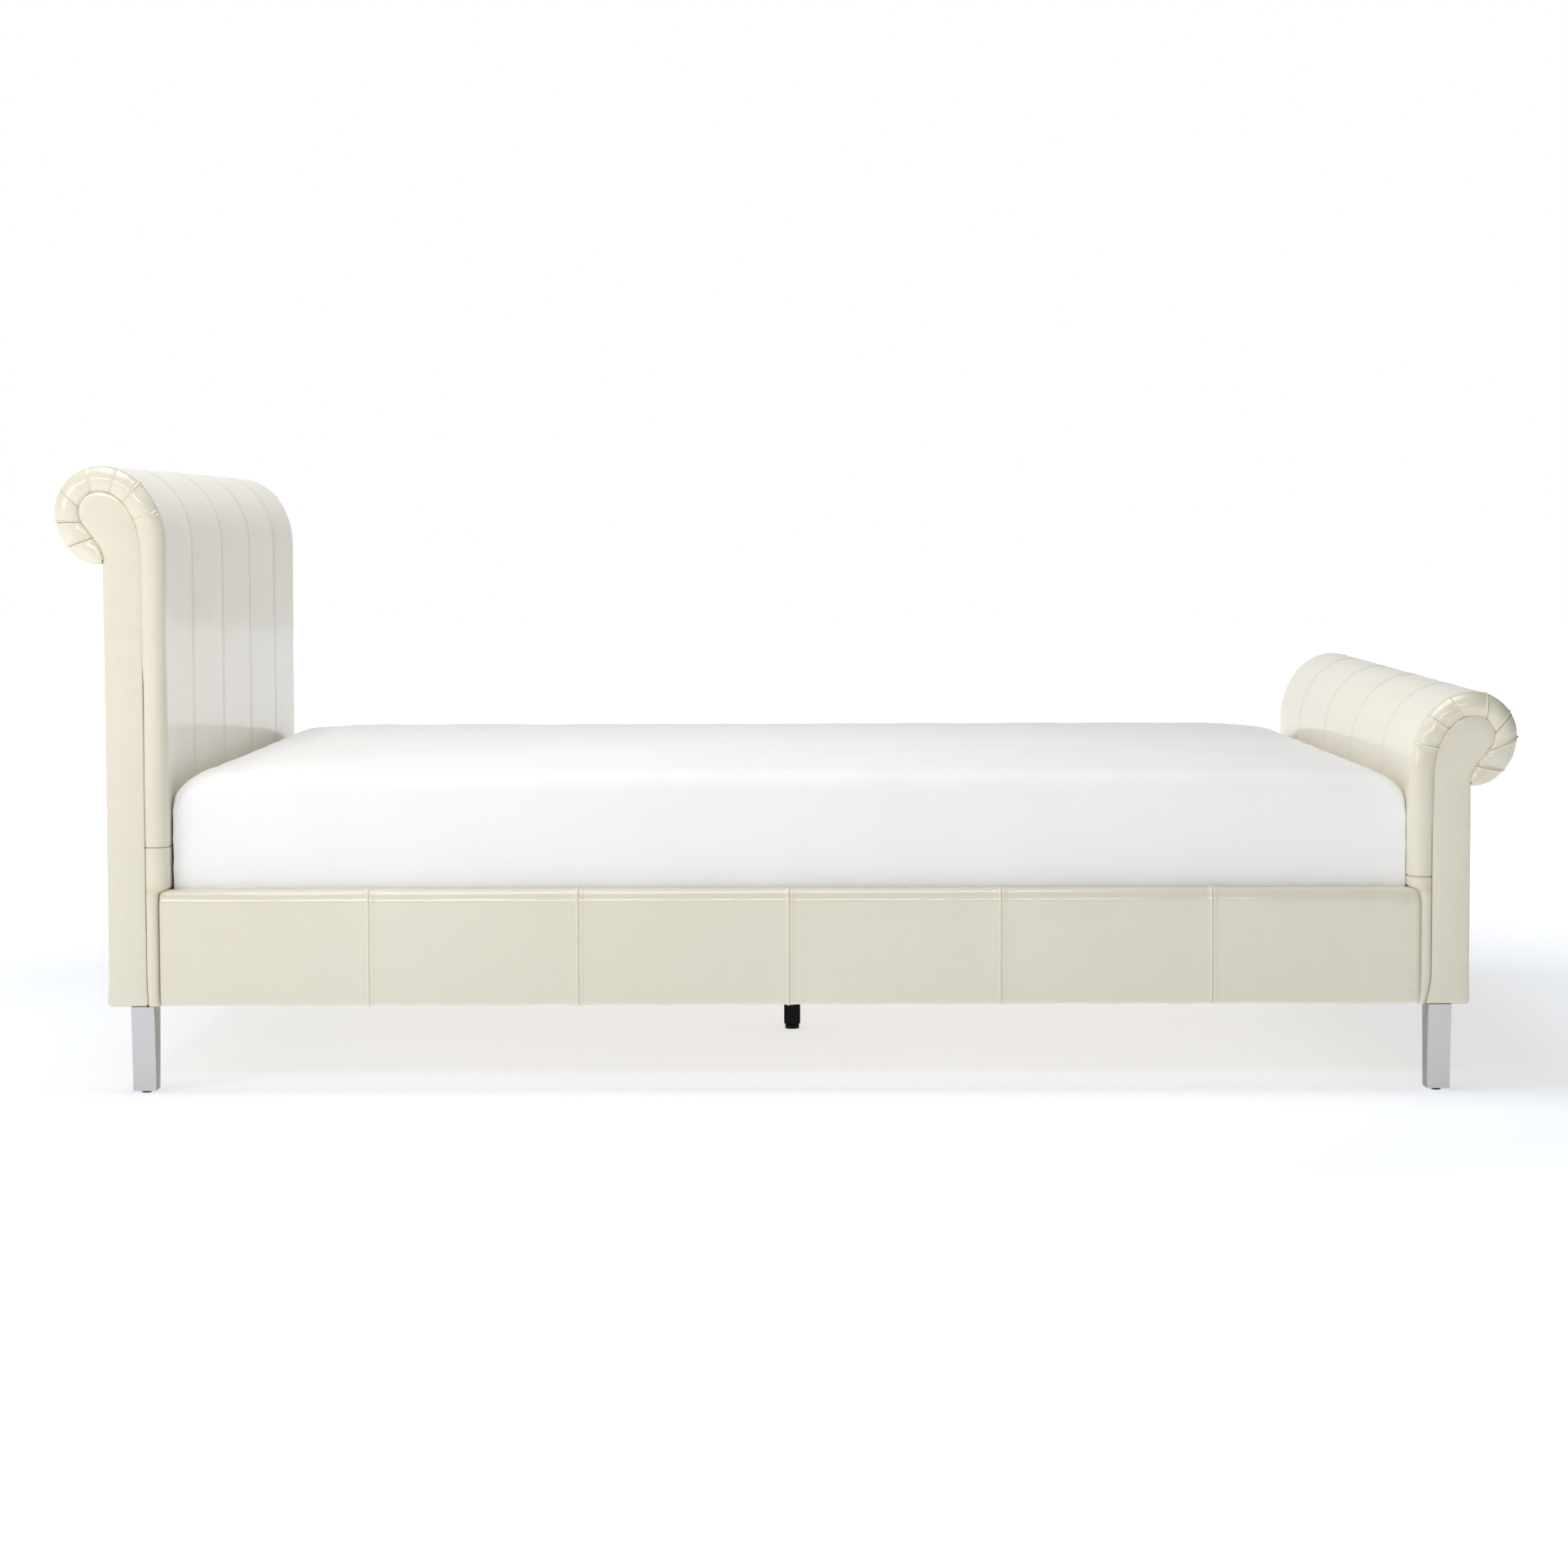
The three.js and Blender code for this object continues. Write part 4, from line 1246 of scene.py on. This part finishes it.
def fitted_sheet():
    """One cloth over the mattress, gathered under it, with fuller corners at the top."""
    low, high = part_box("fitted_sheet")
    tall = high.z - low.z
    corner_low, corner_top, lip = 3 * MM, 32 * MM, 150 * MM
    rings = np.array(sheet_profile(tall, lip, 22 * MM, 46 * MM))
    corners = corner_low + (corner_top - corner_low) * smooth(rings[:, 1], 0.72 * tall, tall)
    plans, flats = zip(*(
        plan_loop(low.x + inset, high.x - inset, high.y - inset, corner, (170, 128, 21))
        for inset, corner in zip(rings[:, 0], corners)
    ))
    plan, flat = np.array(plans), np.array(flats)
    rows, columns = plan.shape[:2]
    run = np.broadcast_to(run_along(plan[rows // 2]), (rows, columns))
    inset, up = (np.repeat(values[:, None], columns, axis=1) for values in rings.T)
    x, y, z = plan[..., 0], plan[..., 1], low.z + up
    grid = np.stack([x, y, z], -1)
    normals = grid_normals(grid)
    outward = np.sum(normals[..., :2] * flat, axis=-1) + normals[..., 2] * (up - tall / 2)
    normals *= np.where(outward.mean() < 0, -1, 1)
    grid += normals * sheet_waves(x, y, up, flat, run, inset, low, high)[..., None]
    near_top = smooth(z, high.z - 90 * MM, high.z - 10 * MM)
    grid[..., 2] += near_top * sheet_crown(x, inset, low, high)

    rim = grid[-1, :, :2]
    top, faces = filled(rim, 26 * MM, 15 * MM)
    edge = distance_to_outline(top, rim)
    top_z = high.z + sheet_crown(top[:, 0], edge + rings[-1, 0], low, high)
    top_z += undulation(top[:, 0], top[:, 1], 420 * MM, 55) * 1.5 * MM * smooth(edge, 0, 80 * MM)
    first = (rows - 1) * columns
    points = np.concatenate([grid.reshape(-1, 3), np.column_stack([top, top_z])[columns:]])
    faces = loft_faces(rows, columns) + [[first + v for v in f] for f in faces]

    mesh = new_mesh("fitted_sheet", points, faces)
    piece = stand_in("fitted_sheet", mesh, COTTON, BEDDING_BODY)
    cloth = piece.modifiers.new("cloth", "SOLIDIFY")
    cloth.thickness = 1.2 * MM
    cloth.offset = -1 if mesh.polygons[0].normal.z < 0 else 1


def mattress():
    """The mattress under the sheet: taped edges and a quilted underside."""
    low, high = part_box("mattress")
    clear, corner, tape = 7 * MM, 52 * MM, 5 * MM
    x0, x1, half = low.x + clear, high.x - clear, high.y - clear
    base, top = low.z, high.z - 9 * MM
    levels = [(150, 0), (60, 0), (30, 1), (16, 3), (9, 7), (3.5, 11)]
    rings = [(inset * MM, base + up * MM) for inset, up in levels]
    rings += [
        (tape * (1 - math.sin(a)) - tape * 0.6, base + 15 * MM + tape - tape * math.cos(a))
        for a in np.radians(np.linspace(0, 180, 8))
    ]
    rings += [(0.5 * MM, base + 28 * MM)]
    rings += [(0.0, z) for z in np.linspace(base + 40 * MM, top - 46 * MM, 10)]
    rings += rounded_top(34 * MM, top, 9)
    layers = []
    for inset, z in rings:
        plan, _ = plan_loop(x0 + inset, x1 - inset, half - inset, corner, (60, 44, 9))
        layers.append(np.column_stack([plan, np.full(len(plan), z)]))
    grid = np.array(layers)
    rows, columns = grid.shape[:2]
    rim = grid[0, :, :2]
    under, under_faces = filled(rim, 14 * MM, 8 * MM)
    x, y = under.T
    diamond = 140 * MM
    to_line = [np.abs((along / diamond) % 1 - 0.5) * diamond for along in (x + y, x - y)]
    quilt = 4 * MM * bell(np.minimum(*to_line), 14 * MM)
    quilt *= smooth(distance_to_outline(under, rim), 0, 30 * MM)
    below = np.column_stack([under, base + quilt])[columns:]
    skip = (rows - 1) * columns  # the underside shares the first loop and follows the last
    faces = loft_faces(rows, columns) + [list(range(skip, skip + columns))]
    faces += [[v if v < columns else skip + v for v in f] for f in under_faces]
    mesh = new_mesh("mattress", np.concatenate([grid.reshape(-1, 3), below]), faces)
    stand_in("mattress", mesh, TICKING, BEDDING_BODY)


# ---- CAD nodes that show as they are -------------------------------------------------

# By the words in a node's name, of which the first that fits counts: (words, material,
# width of its eased edges in mm)
FINISHES = [
    ("face_panel", PLY_X, 1.5), ("roll_core", FOAM, 1.5), ("cross_rail", PINE_Y, 3),
    ("scroll_board", PLY_Y, 0.8), ("leg_plate", STEEL, 0.8), ("side_rail_core", PLY_Y, 1.5),
    ("slat_ledger", PINE_X, 3), ("slat_", PINE_Y, 3), ("corner_bracket", STEEL, 0.8),
    ("center_beam_bracket", STEEL, 0.8), ("center_beam", PINE_X, 3),
    ("center_leg_foot", PLASTIC, 1.2), ("center_leg", PLASTIC, 3),
]


def dress(piece, material, ease):
    """Gives a CAD node its material, and eases its edges without touching its mesh."""
    piece.data.materials.clear()
    piece.data.materials.append(material)
    weld = piece.modifiers.new("weld", "WELD")
    weld.merge_threshold = 0.01 * MM
    edges = piece.modifiers.new("eased_edges", "BEVEL")
    edges.width = ease
    edges.segments = 3
    edges.limit_method = "ANGLE"
    edges.angle_limit = math.radians(40)
    edges.harden_normals = True


def dress_frame():
    for node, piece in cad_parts.items():
        fitting = [finish for finish in FINISHES if finish[0] in node]
        if fitting:
            _, material, ease = fitting[0]
            dress(piece, material, ease * MM)


# ---- Studio --------------------------------------------------------------------------

# Brightness of the surroundings along each axis: (axis, where it starts to change, where it
# ends, brightness before, brightness after)
SURROUNDINGS = [
    ("Z", 0.18, 0.45, 1.0, 0.36), ("X", 0.05, 0.55, 1.0, 0.18), ("Y", -0.40, 0.20, 0.26, 1.0),
]


def studio_floor():
    """A floor that glows, more faintly near the bed, and fades into the white walls: its glow is
    painted bounce light that pales the shadow under the bed and lights the bed from below.
    """
    size = 30
    corners = [(-size, -size, 0), (size, -size, 0), (size, size, 0), (-size, size, 0)]
    mesh = new_mesh("studio_floor", corners, [(0, 1, 2, 3)])
    look = Look("studio_white")
    near = look.add(
        "TexGradient", "Fac", {"Vector": look.space((0.22,) * 3)}, gradient_type="SPHERICAL",
    )
    # Painted light: the emission stands in for bounce light off a white floor.
    glow = look.ramp(near, (0.25, WHITE), (0.62, (0.60, 0.61, 0.62)))
    mesh.materials.append(look.finish(
        (0.49, 0.515, 0.56), 0.9, Emission_Color=glow, Emission_Strength=1.0,
        Specular_IOR_Level=0.1,
    ))
    in_scene("studio_floor", mesh)


def studio_surroundings():
    """White walls, dimmer overhead and to the right, so that the softboxes show as gloss."""
    world = bpy.data.worlds.new("studio_world")
    bpy.context.scene.world = world
    world.use_nodes = True
    nodes = Nodes(world.node_tree)
    direction = nodes.add("TexCoord", "Generated")
    split = nodes.add("SeparateXYZ", "X", {"Vector": direction}).node
    shade = WHITE
    for axis, start, stop, before, after in SURROUNDINGS:
        values = {"Value": split.outputs[axis], "From Min": -1}
        share = nodes.add("MapRange", "Result", values)
        tone = nodes.ramp(share, ((start + 1) / 2, (before,) * 3), ((stop + 1) / 2, (after,) * 3))
        shade = nodes.mix(1.0, shade, tone, "MULTIPLY")
    seen = nodes.add("LightPath", "Is Camera Ray")
    backdrop = nodes.mix(seen, shade, WHITE)
    nodes.set(world.node_tree.nodes["Background"], {"Color": backdrop, "Strength": 1.0})


def softbox(name, location, target, width, depth, power):
    light = bpy.data.lights.new(name, "AREA")
    light.shape = "RECTANGLE"
    light.size, light.size_y, light.energy = width, depth, power
    lamp = in_scene(name, light)
    lamp.location = location
    aim = Vector(target) - Vector(location)
    lamp.rotation_euler = aim.to_track_quat("-Z", "Y").to_euler()


def camera():
    """The photograph's view, through a lens of about 85 mm and very slightly tilted."""
    data = bpy.data.cameras.new("photo_camera")
    data.sensor_width = 36
    data.lens = 84.54
    data.clip_end = 100
    view = in_scene("photo_camera", data)
    view.location = (-0.0062, -6.8, 0.918)
    pitch, roll = math.radians(90 - 3.896), math.radians(-0.13)
    turn = Matrix.Rotation(pitch, 3, "X") @ Matrix.Rotation(roll, 3, "Z")
    view.rotation_euler = turn.to_euler()
    bpy.context.scene.camera = view


# ---- The bed -------------------------------------------------------------------------

for end in (read_end("headboard", -1), read_end("footboard", 1)):
    front_cover(end)
    lower_cover(end)
    back_cover(end)
    for side, y_sign in SIDES:
        side_facing(end, side, y_sign * end.sign)
        leg(f"{end.name}_leg_{side}")
        glide(f"{end.name}_leg_glide_{side}")
for side, y_sign in SIDES:
    rail_cover(side, y_sign)
fitted_sheet()
mattress()
dress_frame()
studio_floor()
studio_surroundings()
softbox("overhead", (-0.6, -0.4, 3.4), (-0.1, -0.2, 0.3), 2.4, 2.4, 71)
softbox("key", (-2.9, -2.9, 1.6), (-0.8, -0.6, 0.5), 1.2, 1.2, 20)
softbox("strip", (-1.2, -4.8, 2.45), (-0.2, -0.8, 0.4), 4.8, 0.30, 68)
camera()
bpy.context.scene.view_settings.view_transform = "Standard"
